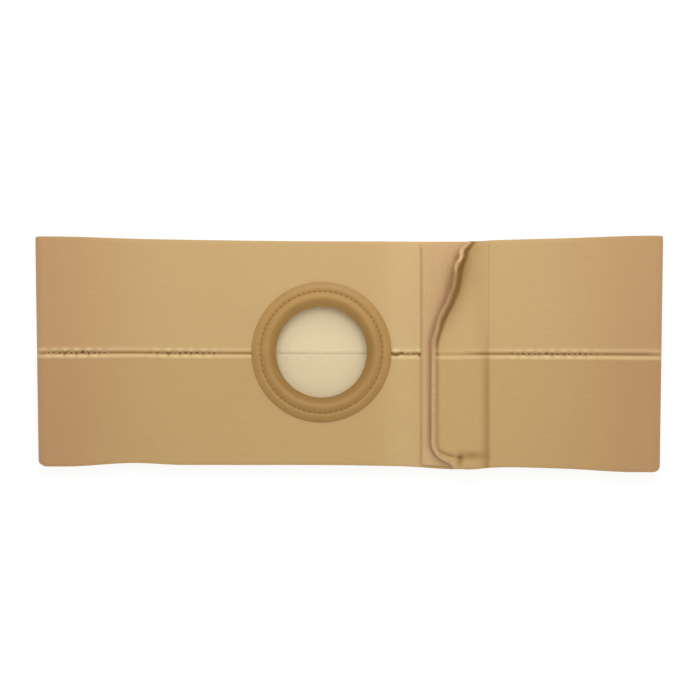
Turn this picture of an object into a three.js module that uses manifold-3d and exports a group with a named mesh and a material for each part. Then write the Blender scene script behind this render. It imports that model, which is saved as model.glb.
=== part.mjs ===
// Ostomy support belt: two strips of elastic webbing sewn edge to edge into one wide belt, closed round
// the waist by a hook-and-loop flap, with a moulded ring round the opening in its front panel.
// The belt lies flattened on its back as a closed loop, with its front panel up.
// Millimetres, +Z up. The origin is the middle of the belt's footprint, on the surface that it lies on.
// +X runs along the belt, from the ring towards the flap, and +Y runs across it, towards its upper edge.

import * as THREE from "three";
import { mergeVertices } from "three/addons/utils/BufferGeometryUtils.js";
import Module from "manifold-3d";

const wasm = await Module();
wasm.setup();

// Driving dimensions
const HALF_LENGTH = 208.7; // from the middle to each fold, at half the belt's width
const FOLD_LEAN = 7e-5; // the folds lean outwards by this share of their distance for each millimetre of y
const WEBBING = 2.0; // thickness of the elastic
const GAP = 7.0; // hollow between the back and front panels, where the waist goes
const SEAM_GAP = 0.4; // between the two strips, bridged by the zigzag thread
const BACK_INSET = 0.8; // the back panel's edges lie this far inside the front panel's
const CLEAR = 0.3; // gap between pieces that lie on each other
const PATCH = 1.0; // thickness of the hook patch and of the loop patch

// The closure: the under end carries the loop patch, and the flap lies on it.
const UNDER_END_X = 91.0; // where the under end stops, beneath the flap
const UNDER_DIP = 2.0; // how far the flap presses the under end down
const LOOP_PATCH_X = 47.7; // the loop patch's edge beside the ring
const LOOP_PATCH_MARGIN = 1.8; // from the loop patch to the belt's edges
const HOOK_PATCH_X = 90.0; // the hook patch's edge furthest from the flap's end
const HOOK_PATCH_INSET = 5.0; // from the flap's end to the hook patch
const HOOK_PATCH_Y = { low: -62, high: 70, steps: 11 };
const FLAP_ROOT_X = 92.0; // where the flap starts to lie on the patches
const CURL_REACH = 13.0; // the flap's end curls up over this length
const CURL_POWER = 3; // how steeply the curl rises towards the end

// The overlocked edge round the flap's end
const BINDING_WIDTH = 2.4; // how far it reaches over the webbing
const BINDING_WALL = 0.8;
const BINDING_NOSE = 0.6; // height of its flat nose, as a share of its thickness

// The ring and the opening that its collar lines
const RING_X = -18.5;
const RING_Y = 1.2;
const RING_BORE = 30.0;
const COLLAR_OUTER = 32.2;
const COLLAR_END = -2.4; // how far the collar reaches down, from the front panel's outer face
const RING_SEGMENTS = 60;

const WELD = 1e-4; // vertices closer than this are one vertex in a cut

// Heights of the layers
const FRONT_INSIDE = WEBBING + GAP;
const FRONT_OUTSIDE = FRONT_INSIDE + WEBBING;
const FOLD_RADIUS = (GAP + WEBBING) / 2; // of the webbing's middle, round a fold
const FOLD_X = HALF_LENGTH - WEBBING / 2 - FOLD_RADIUS;
const FOLD_STEPS = 8;
const BACK_STEPS = 16;
const UNDER_OUTSIDE = FRONT_OUTSIDE - UNDER_DIP;
const LOOP_PATCH_Z = UNDER_OUTSIDE + CLEAR;
const HOOK_PATCH_Z = LOOP_PATCH_Z + PATCH + CLEAR;
const FLAP_INSIDE = HOOK_PATCH_Z + PATCH + CLEAR;
const FLAP_RISE = FLAP_INSIDE - FRONT_INSIDE;

// The belt's outline: where its two edges and its seam run, section by section.
const EDGES = [
  { x: -210, top: 78.5, seam: 0.7, bottom: -72.2 },
  { x: -203, top: 78.4, seam: 0.7, bottom: -75.1 },
  { x: -190, top: 78.3, seam: 0.7, bottom: -75.1 },
  { x: -144, top: 76.9, seam: 0.8, bottom: -72.8 },
  { x: -110, top: 76.2, seam: 0.5, bottom: -74.1 },
  { x: -32, top: 75.2, seam: 0.2, bottom: -74.1 },
  { x: 32, top: 75.0, seam: -0.1, bottom: -74.9 },
  { x: 72, top: 74.9, seam: -0.2, bottom: -77.0 },
  { x: 104, top: 76.1, seam: -0.1, bottom: -75.6 },
  { x: 144, top: 77.2, seam: -0.2, bottom: -76.6 },
  { x: 192, top: 78.8, seam: -0.5, bottom: -78.9 },
  { x: 204, top: 78.9, seam: -0.6, bottom: -78.9 },
  { x: 210, top: 78.9, seam: -0.7, bottom: -76.0 },
];

// How the front panel's two stretches rise and sag against its own level, with the steps to the next row.
const LEFT_PANEL = [
  { x: -FOLD_X, rise: 0, steps: 4 },
  { x: -150, rise: -0.7, steps: 3 },
  { x: -110, rise: -0.3, steps: 3 },
  { x: -68, rise: 0, steps: 6 },
  { x: 30, rise: 0, steps: 4 },
  { x: 46.5, rise: -UNDER_DIP, steps: 3 },
  { x: UNDER_END_X, rise: -UNDER_DIP },
];
const RIGHT_PANEL = [
  { x: FLAP_ROOT_X, rise: FLAP_RISE, steps: 3 },
  { x: 100, rise: 1.9, steps: 3 },
  { x: 112, rise: 0.7, steps: 2 },
  { x: 126, rise: 0, steps: 3 },
  { x: 160, rise: -0.6, steps: 3 },
  { x: FOLD_X, rise: 0 },
];

// The flap's end, from the belt's lower edge to its upper edge: its outline, and how far it curls up.
const FLAP_END = [
  { y: -77, x: 70.7, lift: 1.3 },
  { y: -72.7, x: 67.7, lift: 1.3 },
  { y: -70.2, x: 62.7, lift: 1.2 },
  { y: -66.7, x: 58.3, lift: 1.1 },
  { y: -60, x: 55.4, lift: 1.0 },
  { y: -2, x: 55.4, lift: 1.0 },
  { y: 7, x: 55.6, lift: 2.6 },
  { y: 20, x: 59.2, lift: 6.4 },
  { y: 34.6, x: 65.5, lift: 9.8 },
  { y: 48, x: 70.0, lift: 11.0 },
  { y: 56, x: 71.5, lift: 10.5 },
  { y: 67, x: 75.1, lift: 8.2 },
  { y: 76, x: 82.0, lift: 4.2 },
];
const FLAP_STEPS = [0.35, 0.6, 0.74, 0.87, 1]; // shares of the way from its root to its overlocked edge

// The ring's flange, from its outer underside over two raised beads and down a funnel to the bore, by its
// radii and its heights above the front panel's outer face. The inner bead has a flat crest.
const FLANGE = [
  { radius: 46.3, height: CLEAR },
  { radius: 46.7, height: 0.6 },
  { radius: 45.4, height: 1.5 },
  { radius: 44.0, height: 2.2 },
  { radius: 42.8, height: 2.5 },
  { radius: 41.0, height: 2.1 },
  { radius: 40.1, height: 2.3 },
  { radius: 39.1, height: 3.1 },
  { radius: 37.6, height: 4.0 },
  { radius: 36.0, height: 4.0 },
  { radius: 34.5, height: 3.1 },
  { radius: 33.3, height: 2.0 },
  { radius: 32.2, height: 1.0 },
  { radius: 31.1, height: -0.5 },
  { radius: RING_BORE, height: -1.9 },
];

// Each strip's rows across the belt, as shares of its width from its lower edge, closest where the flap
// bends.
const STRIPS = {
  upper: { low: "seam", high: "top", rows: [0, 0.15, 0.29, 0.43, 0.57, 0.71, 0.85, 1] },
  lower: { low: "bottom", high: "seam", rows: [0, 0.05, 0.1, 0.16, 0.23, 0.4, 0.7, 1] },
};

const ELASTIC = new THREE.MeshStandardMaterial({ color: 0xc6a070, roughness: 0.9, metalness: 0 });
const RING_VINYL = new THREE.MeshStandardMaterial({ color: 0xa8824c, roughness: 0.5, metalness: 0 });
const LOOP_PILE = new THREE.MeshStandardMaterial({ color: 0xd0aa78, roughness: 1, metalness: 0 });
const HOOK_TAPE = new THREE.MeshStandardMaterial({ color: 0xc9a678, roughness: 0.7, metalness: 0 });
const OVERLOCK = new THREE.MeshStandardMaterial({ color: 0xcfab7c, roughness: 0.85, metalness: 0 });

const mix = THREE.MathUtils.lerp;

// A column of a table where its key column equals at, on a smooth curve that never overshoots its rows.
function along(rows, key, column, at) {
  const last = rows.length - 1;
  if (at <= rows[0][key]) return rows[0][column];
  if (at >= rows[last][key]) return rows[last][column];
  const secant = (i) => (rows[i + 1][column] - rows[i][column]) / (rows[i + 1][key] - rows[i][key]);
  const slope = (i) => {
    if (i === 0 || i === last) return 0;
    const before = secant(i - 1);
    const after = secant(i);
    return before * after > 0 ? (2 * before * after) / (before + after) : 0;
  };
  const i = rows.findIndex((row) => row[key] > at) - 1;
  const width = rows[i + 1][key] - rows[i][key];
  const t = (at - rows[i][key]) / width;
  const bend = (t - 1) * width * ((t - 1) * t * slope(i) + t * t * slope(i + 1));
  return mix(rows[i][column], rows[i + 1][column], t * t * (3 - 2 * t)) + bend;
}

// The y of a point across a strip, at a section of the belt.
function acrossStrip(strip, x, share, inset) {
  const half = SEAM_GAP / 2;
  const edge = {
    top: along(EDGES, "x", "top", x) - inset,
    seam: along(EDGES, "x", "seam", x) + (strip.low === "seam" ? half : -half),
    bottom: along(EDGES, "x", "bottom", x) + inset,
  };
  return mix(edge[strip.low], edge[strip.high], share);
}

// A point on the webbing's middle surface, where facing is 1 on the front panel and -1 on the back panel.
function webbingPoint(strip, share, x, z, facing) {
  const y = acrossStrip(strip, x, share, (BACK_INSET * (1 - facing)) / 2);
  return new THREE.Vector3(x * (1 + FOLD_LEAN * y), y, z);
}

// A point on the flap's middle surface, where placeFrom turns the x of the flap's end into the point's x.
function flapPoint(strip, share, placeFrom) {
  const y = acrossStrip(strip, placeFrom(along(FLAP_END, "y", "x", 0)), share, 0);
  const end = along(FLAP_END, "y", "x", y);
  const curl = Math.min(CURL_REACH, FLAP_ROOT_X - end);
  const x = placeFrom(end);
  const towardsEnd = Math.max(0, 1 - (x - end) / curl);
  const z = FLAP_INSIDE + WEBBING / 2 + along(FLAP_END, "y", "lift", y) * towardsEnd ** CURL_POWER;
  return new THREE.Vector3(x * (1 + FOLD_LEAN * y), y, z);
}

// The x of each section along a panel's table, from its first row to its last.
function sectionsAlong(rows) {
  const found = rows.slice(0, -1).flatMap((row, i) =>
    Array.from({ length: row.steps }, (_, k) => mix(row.x, rows[i + 1].x, k / row.steps)),
  );
  return [...found, rows[rows.length - 1].x];
}

// The sections of the belt's course, each a function from a strip and a share of its width to a point:
// the under end, the left fold, the back panel, the right fold, the front panel's right side, the flap.
function beltCourse() {
  const panel = (rows) => (x) => (strip, share) =>
    webbingPoint(strip, share, x, FRONT_INSIDE + WEBBING / 2 + along(rows, "x", "rise", x), 1);
  const fold = (side) => (step) => {
    const turn = (Math.PI * step) / FOLD_STEPS;
    const facing = -side * Math.cos(turn);
    const x = side * (FOLD_X + FOLD_RADIUS * Math.sin(turn));
    const z = WEBBING / 2 + FOLD_RADIUS * (1 + facing);
    return (strip, share) => webbingPoint(strip, share, x, z, facing);
  };
  const back = (step) => (strip, share) =>
    webbingPoint(strip, share, mix(-FOLD_X, FOLD_X, step / BACK_STEPS), WEBBING / 2, -1);
  const flap = (placeFrom) => (strip, share) => flapPoint(strip, share, placeFrom);
  const towardsBinding = (reach) => (end) => mix(FLAP_ROOT_X, end + BINDING_WIDTH, reach);
  const turns = Array.from({ length: FOLD_STEPS - 1 }, (_, k) => k + 1);
  return [
    ...sectionsAlong(LEFT_PANEL).reverse().map(panel(LEFT_PANEL)),
    ...turns.map(fold(-1)),
    ...Array.from({ length: BACK_STEPS + 1 }, (_, k) => k).map(back),
    ...turns.map(fold(1)),
    ...sectionsAlong(RIGHT_PANEL).reverse().map(panel(RIGHT_PANEL)),
    ...FLAP_STEPS.map(towardsBinding).map(flap),
    flap((end) => end),
  ];
}

// The unit normal of a grid of points at row i and column j, towards the side that the wall calls outer.
function normalAt(grid, i, j) {
  const previous = grid[Math.max(i - 1, 0)][j];
  const next = grid[Math.min(i + 1, grid.length - 1)][j];
  const lower = grid[i][Math.max(j - 1, 0)];
  const upper = grid[i][Math.min(j + 1, grid[i].length - 1)];
  return upper.clone().sub(lower).cross(next.clone().sub(previous)).normalize();
}

// A closed wall between two grids of points, the outer one on the side that its normals point to.
// Each of its quads is split along its shorter diagonal, so that walls which lie on each other bend alike.
function wallBetween(outer, inner) {
  const rows = outer.length;
  const columns = outer[0].length;
  const points = [outer, inner].flat(2);
  const at = (side, i, j) => (side * rows + i) * columns + j;
  const index = [];
  const quad = (a, b, c, d) => {
    const shorter = points[a].distanceTo(points[c]) <= points[b].distanceTo(points[d]);
    index.push(...(shorter ? [a, b, c, a, c, d] : [b, c, d, b, d, a]));
  };
  for (let i = 0; i + 1 < rows; i++) {
    for (let j = 0; j + 1 < columns; j++) {
      quad(at(0, i, j), at(0, i, j + 1), at(0, i + 1, j + 1), at(0, i + 1, j));
      quad(at(1, i, j), at(1, i + 1, j), at(1, i + 1, j + 1), at(1, i, j + 1));
    }
    const far = columns - 1;
    quad(at(0, i, 0), at(0, i + 1, 0), at(1, i + 1, 0), at(1, i, 0));
    quad(at(0, i, far), at(1, i, far), at(1, i + 1, far), at(0, i + 1, far));
  }
  for (let j = 0; j + 1 < columns; j++) {
    const far = rows - 1;
    quad(at(0, 0, j), at(1, 0, j), at(1, 0, j + 1), at(0, 0, j + 1));
    quad(at(0, far, j), at(0, far, j + 1), at(1, far, j + 1), at(1, far, j));
  }
  return new THREE.BufferGeometry().setFromPoints(points).setIndex(index);
}

function toSolid(geometry) {
  const bare = new THREE.BufferGeometry();
  bare.setAttribute("position", geometry.getAttribute("position"));
  bare.setIndex(geometry.index);
  const merged = mergeVertices(bare, WELD);
  return new wasm.Manifold(
    new wasm.Mesh({
      numProp: 3,
      vertProperties: new Float32Array(merged.getAttribute("position").array),
      triVerts: new Uint32Array(merged.index.array),
    }),
  );
}

function toGeometry(solid) {
  const { numProp, vertProperties, triVerts } = solid.getMesh();
  const positions = [];
  for (let i = 0; i < vertProperties.length; i += numProp) {
    positions.push(vertProperties[i], vertProperties[i + 1], vertProperties[i + 2]);
  }
  const geometry = new THREE.BufferGeometry();
  geometry.setAttribute("position", new THREE.Float32BufferAttribute(positions, 3));
  geometry.setIndex(new THREE.Uint32BufferAttribute(triVerts, 1));
  geometry.computeVertexNormals();
  return geometry;
}

function namedMesh(name, geometry, material) {
  const mesh = new THREE.Mesh(geometry, material);
  mesh.name = name;
  return mesh;
}

// The opening in the front panel, a plug that the ring's collar later fills.
function openingPlug() {
  const height = GAP + 2 * WEBBING;
  const radius = COLLAR_OUTER + CLEAR;
  const plug = new THREE.CylinderGeometry(radius, radius, height, RING_SEGMENTS);
  plug.rotateX(Math.PI / 2);
  return plug.translate(RING_X, RING_Y, FRONT_INSIDE - GAP / 2 + height / 2);
}

const course = beltCourse();

// The webbing's middle surface, a row of points for each section of the belt's course.
const middleOf = (strip) => course.map((section) => strip.rows.map((share) => section(strip, share)));

const offsetGrid = (grid, distance) =>
  grid.map((row, i) => row.map((p, j) => p.clone().addScaledVector(normalAt(grid, i, j), distance)));

// One strip of webbing, from the under end round the whole loop to the flap's end.
function webbingStrip(name, strip) {
  const middle = middleOf(strip);
  const wall = wallBetween(offsetGrid(middle, WEBBING / 2), offsetGrid(middle, -WEBBING / 2));
  const cut = toSolid(wall).subtract(toSolid(openingPlug()));
  return namedMesh(name, toGeometry(cut), ELASTIC);
}

// The overlocked edge: a C-shaped section that holds the flap's end between its two legs.
// Its heel is the webbing's last section but one, and its tip is the last section.
function flapBinding() {
  const ends = [middleOf(STRIPS.lower), middleOf(STRIPS.upper)].flatMap((grid) => {
    const tip = grid.length - 1;
    return grid[tip].map((point, j) => ({
      heel: grid[tip - 1][j],
      heelNormal: normalAt(grid, tip - 1, j),
      tip: point,
      tipNormal: normalAt(grid, tip, j),
    }));
  });
  const sweep = (offset, reach) =>
    ends.map(({ heel, heelNormal, tip, tipNormal }) => {
      const outwards = tip.clone().sub(heel).setLength(reach);
      const beyond = tip.clone().add(outwards);
      return [
        heel.clone().addScaledVector(heelNormal, -offset),
        tip.clone().addScaledVector(tipNormal, -offset),
        beyond.clone().addScaledVector(tipNormal, -BINDING_NOSE * offset),
        beyond.clone().addScaledVector(tipNormal, BINDING_NOSE * offset),
        tip.clone().addScaledVector(tipNormal, offset),
        heel.clone().addScaledVector(heelNormal, offset),
      ];
    });
  const slot = WEBBING / 2 + CLEAR;
  const skin = wallBetween(sweep(slot + BINDING_WALL, CLEAR + BINDING_WALL), sweep(slot, CLEAR));
  return namedMesh("flap_binding", skin, OVERLOCK);
}

function flatPatch(name, outline, z, material) {
  const shape = new THREE.Shape(outline.map(([x, y]) => new THREE.Vector2(x, y)));
  const mesh = namedMesh(
    name,
    new THREE.ExtrudeGeometry(shape, { depth: PATCH, bevelEnabled: false }),
    material,
  );
  mesh.position.z = z;
  return mesh;
}

function loopPatch() {
  const xs = [0, 0.5, 1].map((share) => mix(LOOP_PATCH_X, UNDER_END_X, share));
  const outline = [
    ...xs.map((x) => [x, along(EDGES, "x", "bottom", x) + LOOP_PATCH_MARGIN]),
    ...xs.reverse().map((x) => [x, along(EDGES, "x", "top", x) - LOOP_PATCH_MARGIN]),
  ];
  return flatPatch("loop_patch", outline, LOOP_PATCH_Z, LOOP_PILE);
}

function hookPatch() {
  const { low, high, steps } = HOOK_PATCH_Y;
  const flapSide = Array.from({ length: steps + 1 }, (_, k) => {
    const y = mix(high, low, k / steps);
    return [along(FLAP_END, "y", "x", y) + HOOK_PATCH_INSET, y];
  });
  const outline = [[HOOK_PATCH_X, low], [HOOK_PATCH_X, high], ...flapSide];
  return flatPatch("hook_patch", outline, HOOK_PATCH_Z, HOOK_TAPE);
}

// The ring: a stitched flange with two raised beads, and a collar that lines the opening.
function stomaRing() {
  const collarFoot = { radius: RING_BORE, height: COLLAR_END };
  const section = [
    collarFoot,
    { radius: COLLAR_OUTER, height: COLLAR_END },
    { radius: COLLAR_OUTER, height: CLEAR },
    ...FLANGE,
    collarFoot,
  ];
  const profile = section.map(({ radius, height }) => new THREE.Vector2(radius, height));
  const ring = namedMesh("stoma_ring", new THREE.LatheGeometry(profile, RING_SEGMENTS), RING_VINYL);
  ring.rotation.x = Math.PI / 2;
  ring.position.set(RING_X, RING_Y, FRONT_OUTSIDE);
  return ring;
}

const belt = new THREE.Group();
belt.add(
  webbingStrip("upper_band", STRIPS.upper),
  webbingStrip("lower_band", STRIPS.lower),
  loopPatch(),
  hookPatch(),
  flapBinding(),
  stomaRing(),
);

export default belt;
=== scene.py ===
# %% [markdown]
# # An ostomy support belt
# The real belt is two strips of heavy elastic webbing, sewn edge to edge with a zigzag seam into one wide
# belt. A moulded ring is stitched round an opening in the front, and a hook-and-loop flap closes the
# belt. Here it lies flattened on its back, as it does on a shop table. The solids of the belt are already
# made and packed as a frame. This lesson dresses them: it cuts and folds the webbing again at a fine
# scale, sews it, and gives each material the surface that the real one has. Lengths are in millimetres
# until they are placed.

# %% Load the frame
import math

import bpy
import numpy as np
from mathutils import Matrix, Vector, noise


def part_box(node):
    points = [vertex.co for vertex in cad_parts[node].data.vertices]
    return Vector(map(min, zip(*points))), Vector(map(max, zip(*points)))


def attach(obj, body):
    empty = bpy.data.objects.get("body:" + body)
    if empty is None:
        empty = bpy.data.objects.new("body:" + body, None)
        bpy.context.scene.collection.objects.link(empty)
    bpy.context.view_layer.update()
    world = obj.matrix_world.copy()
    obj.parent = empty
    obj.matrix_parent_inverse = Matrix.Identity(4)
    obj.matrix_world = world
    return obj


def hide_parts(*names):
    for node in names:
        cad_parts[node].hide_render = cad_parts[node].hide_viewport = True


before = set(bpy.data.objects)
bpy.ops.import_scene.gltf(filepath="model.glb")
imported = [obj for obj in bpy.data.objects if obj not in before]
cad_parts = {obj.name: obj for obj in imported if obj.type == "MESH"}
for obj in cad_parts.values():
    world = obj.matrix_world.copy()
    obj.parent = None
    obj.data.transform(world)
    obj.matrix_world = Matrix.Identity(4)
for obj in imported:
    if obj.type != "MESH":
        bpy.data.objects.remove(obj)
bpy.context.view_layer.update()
MM = 0.001
print("solids:", sorted(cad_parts))

# %% [markdown]
# ## Camera
# The picture looks straight down on the belt, so the camera hangs above it and isn't turned at all: a
# camera with no rotation looks down, with +Y at the top of the image. A long lens far away keeps the
# belt's sides from showing. The width of the view is a real size, and the lens follows from it.

# %% Camera
VIEW_WIDTH = 466.7
VIEW_CENTRE = (0.5, 2.6)
FRONT_LEVEL = 11.0
CAMERA_HEIGHT = 2200.0

bpy.ops.object.camera_add(
    location=(VIEW_CENTRE[0] * MM, VIEW_CENTRE[1] * MM, CAMERA_HEIGHT * MM),
    rotation=(0, 0, 0),
)
camera = bpy.context.object
camera.data.lens = camera.data.sensor_width * (CAMERA_HEIGHT - FRONT_LEVEL) / VIEW_WIDTH
bpy.context.scene.camera = camera
print("lens in mm:", round(camera.data.lens, 1))

# %% [markdown]
# ## Light
# The light in the picture is soft and comes mostly from the top of the image. A pale world lights every
# side, and one large area light gives the direction. It hangs near the belt, so that the upper half is a
# little brighter than the lower half. The colours are shown with the Standard view transform, which keeps
# a cloth's colour as it was measured.

# %% Light
WORLD_STRENGTH = 0.6
KEY_PLACE = (50.0, 480.0, 640.0)
KEY_SIZE = 800.0
KEY_POWER = 3.5

scene = bpy.context.scene
scene.view_settings.view_transform = "Standard"
scene.view_settings.look = "None"
scene.world = bpy.data.worlds.new("pale_studio")
scene.world.use_nodes = True
scene.world.node_tree.nodes["Background"].inputs["Color"].default_value = (1.0, 1.0, 1.0, 1.0)
scene.world.node_tree.nodes["Background"].inputs["Strength"].default_value = WORLD_STRENGTH

bpy.ops.object.light_add(type="AREA", location=Vector(KEY_PLACE) * MM)
key = bpy.context.object
key.name = "key"
key.data.size = KEY_SIZE * MM
key.data.energy = KEY_POWER
key.rotation_euler = (-key.location).to_track_quat("-Z", "Y").to_euler()
key.visible_camera = False
print("the key light hangs", round(key.location.length / MM), "mm from the belt")

# %% [markdown]
# ## The belt's measures
# These are the sizes that the solids were drawn with. The webbing is 2 mm thick, and the flattened loop
# leaves a hollow for the waist. The outline isn't quite straight, because elastic waves along its edges,
# so short tables say where the edges and the seam run, how the panels sag, and where the flap's end lies.

# %% Measures
WEBBING = 2.0
GAP = 7.0
CLEAR = 0.3
PATCH = 1.0
HALF_LENGTH = 208.7
FOLD_LEAN = 7e-5
BACK_INSET = 0.8
UNDER_END_X = 91.0
UNDER_DIP = 2.0
FLAP_ROOT_X = 92.0
CURL_REACH = 13.0
CURL_POWER = 3

FRONT_INSIDE = WEBBING + GAP
FRONT_OUTSIDE = FRONT_INSIDE + WEBBING
FOLD_RADIUS = (GAP + WEBBING) / 2
FOLD_X = HALF_LENGTH - WEBBING / 2 - FOLD_RADIUS
LOOP_TAPE_LEVEL = FRONT_OUTSIDE - UNDER_DIP + CLEAR
FLAP_INSIDE = LOOP_TAPE_LEVEL + 2 * PATCH + 2 * CLEAR

EDGES = {
    "x": (-210, -203, -190, -144, -110, -32, 32, 72, 104, 144, 192, 204, 210),
    "top": (78.5, 78.4, 78.3, 76.9, 76.2, 75.2, 75.0, 74.9, 76.1, 77.2, 78.8, 78.9, 78.9),
    "seam": (0.7, 0.7, 0.7, 0.8, 0.5, 0.2, -0.1, -0.2, -0.1, -0.2, -0.5, -0.6, -0.7),
    "bottom": (-72.2, -75.1, -75.1, -72.8, -74.1, -74.1, -74.9, -77.0, -75.6, -76.6, -78.9, -78.9, -76.0),
}
LEFT_PANEL = {
    "x": (-FOLD_X, -150, -110, -68, 30, 46.5, UNDER_END_X),
    "rise": (0, -0.7, -0.3, 0, 0, -UNDER_DIP, -UNDER_DIP),
}
RIGHT_PANEL = {
    "x": (FLAP_ROOT_X, 100, 112, 126, 160, FOLD_X),
    "rise": (FLAP_INSIDE - FRONT_INSIDE, 1.9, 0.7, 0, -0.6, 0),
}
FLAP_END = {
    "y": (-77, -72.7, -70.2, -66.7, -60, -2, 7, 20, 34.6, 48, 56, 67, 76),
    "x": (70.7, 67.7, 62.7, 58.3, 55.4, 55.4, 55.6, 59.2, 65.5, 70.0, 71.5, 75.1, 82.0),
    "lift": (1.3, 1.3, 1.2, 1.1, 1.0, 1.0, 2.6, 6.4, 9.8, 11.0, 10.5, 8.2, 4.2),
}


def along(table, key, column, at):
    """A column of a table where its key column equals at, on a smooth curve that never overshoots."""
    keys = np.array(table[key], float)
    values = np.array(table[column], float)
    secants = np.diff(values) / np.diff(keys)
    slopes = np.zeros(len(values))
    product = secants[:-1] * secants[1:]
    total = np.where(product > 0, secants[:-1] + secants[1:], 1)
    slopes[1:-1] = np.where(product > 0, 2 * product / total, 0)
    at = np.clip(at, keys[0], keys[-1])
    i = np.clip(np.searchsorted(keys, at, side="right") - 1, 0, len(keys) - 2)
    width = keys[i + 1] - keys[i]
    t = (at - keys[i]) / width
    ease = t * t * (3 - 2 * t)
    bend = (t - 1) * width * ((t - 1) * t * slopes[i] + t * t * slopes[i + 1])
    return values[i] * (1 - ease) + values[i + 1] * ease + bend


FLAP_END_X = min(FLAP_END["x"])
STRETCHES = {
    "flap": FLAP_ROOT_X - FLAP_END_X,
    "right panel": FOLD_X - FLAP_ROOT_X,
    "right fold": math.pi * FOLD_RADIUS,
    "back panel": 2 * FOLD_X,
    "left fold": math.pi * FOLD_RADIUS,
    "left panel": FOLD_X + UNDER_END_X,
}
STARTS = dict(zip(STRETCHES, np.cumsum([0, *STRETCHES.values()])))
WEBBING_LENGTH = sum(STRETCHES.values())
print("each strip of webbing is", round(WEBBING_LENGTH), "mm long")

# %% [markdown]
# ## How the webbing folds
# A strip is cut flat and then laid round the loop, so every point of it has two flat measures: its run,
# which is how far it is from the flap's end, and its share of the strip's width. This function lays such
# points in space. Keeping the flat measures pays off later: they become the UV map, so that the weave
# follows the cloth round each fold, and the stitches are placed by them too.


# %% Laying flat webbing in space
SEAM_GAP = 0.04
STRIPS = {"upper": ("seam", "top"), "lower": ("bottom", "seam")}


def course(run):
    """The x, height and outward facing of the webbing's middle at a run past the flap."""
    right_turn = (run - STARTS["right fold"]) / FOLD_RADIUS
    left_turn = (run - STARTS["left fold"]) / FOLD_RADIUS
    right_x = FLAP_ROOT_X + run - STARTS["right panel"]
    left_x = run - STARTS["left panel"] - FOLD_X
    level = FRONT_INSIDE + WEBBING / 2
    where = [run < STARTS[name] for name in list(STRETCHES)[2:]]
    x = np.select(
        where,
        [
            right_x,
            FOLD_X + FOLD_RADIUS * np.sin(right_turn),
            FOLD_X - (run - STARTS["back panel"]),
            -FOLD_X - FOLD_RADIUS * np.sin(left_turn),
        ],
        left_x,
    )
    facing = np.select(where, [1 + 0 * run, np.cos(right_turn), -1 + 0 * run, -np.cos(left_turn)], 1)
    rise = np.where(
        run < STARTS["right fold"],
        along(RIGHT_PANEL, "x", "rise", right_x),
        along(LEFT_PANEL, "x", "rise", left_x),
    )
    height = np.where(np.abs(facing) < 1, WEBBING / 2 + FOLD_RADIUS * (1 + facing), WEBBING / 2)
    height = np.where(facing == 1, level + rise, height)
    return x, height, facing


def lay_webbing(strip, run, share):
    """Points of a strip's middle surface, from runs and from shares of its width counted upwards."""
    x, height, facing = course(run)
    on_flap = run < STARTS["right panel"]
    nominal = np.where(on_flap, FLAP_END_X + run, x)
    inset = BACK_INSET * (1 - np.where(on_flap, 1, facing)) / 2
    edges = {
        "top": along(EDGES, "x", "top", nominal) - inset,
        "seam": along(EDGES, "x", "seam", nominal) + SEAM_GAP / 2 * (1 if strip == "upper" else -1),
        "bottom": along(EDGES, "x", "bottom", nominal) + inset,
    }
    low, high = STRIPS[strip]
    y = edges[low] * (1 - share) + edges[high] * share
    end = along(FLAP_END, "y", "x", y)
    flap_x = end + (FLAP_ROOT_X - end) * run / STRETCHES["flap"]
    reach = np.minimum(CURL_REACH, FLAP_ROOT_X - end)
    curl = np.clip(1 - (flap_x - end) / reach, 0, 1) ** CURL_POWER
    flap_height = FLAP_INSIDE + WEBBING / 2 + along(FLAP_END, "y", "lift", y) * curl
    x = np.where(on_flap, flap_x, x)
    z = np.where(on_flap, flap_height, height)
    return np.stack([x * (1 + FOLD_LEAN * y), y, z], axis=-1)


corner = lay_webbing("upper", np.array([STARTS["right panel"]]), np.array([1.0]))[0]
print("the flap starts at", corner.round(1), "mm at the belt's upper edge")

# %% [markdown]
# ## Relief at the seam
# Heavy elastic isn't a flat sheet. At the seam each strip's selvage thins and is pulled down into a
# groove, with a raised lip beside it. The zigzag thread has sunk in over most of the seam. In a few
# stretches it is slack and shows, and there each needle hole puckers the lips, a little unevenly. The
# ring's flange and the loop tape press the lips flat. Each of these is a small rise or dip along the
# cloth's outward normal, worked out with a bell curve, which fades softly on both sides.

# %% Relief at the seam
ZIGZAG_PITCH = 7.6
SEAM_DIP = {"depth": 0.4, "width": 1.0}
SEAM_LIP = {"upper": 0.35, "lower": 0.55, "from_seam": 2.3, "width": 1.0, "on_back": 0.3}
SEAM_PUCKER = {"depth": 0.45, "from_seam": 1.7, "width": 1.1}
THREAD_SHOWS = ((-206, -160), (-131, -88), (18, 58), (108, 164))
THREAD_FADES = 7.0
THREAD_ON_BACK = 0.7
STITCH_UNEVEN = {"share": 0.8, "length": 5.0, "seed": (5.2, 0.7)}
NEEDLE_STRAYS = {"shift": 1.4, "length": 5.0, "seed": (1.9, 0.7)}
TIGHT_SEAM = 0.75
FLAP_SEAM = {"strength": 0.3, "fades_from": 19.0, "fades_to": 6.0}
FOLD_SEAM = {"less": 0.9, "width": 8.0}
RING_COVER = 46.4
LOOP_TAPE_X = 47.7
COVER_FADES = 1.2

FOLD_RUNS = [STARTS[side] + STRETCHES[side] / 2 for side in ("right fold", "left fold")]
ring_low, ring_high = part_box("stoma_ring")
RING_X = (ring_low.x + ring_high.x) / 2 / MM
RING_Y = (ring_low.y + ring_high.y) / 2 / MM


def bell(distance, width):
    """From 1 where the distance is nothing down to 0 on both sides."""
    return np.exp(-((distance / width) ** 2))


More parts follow.
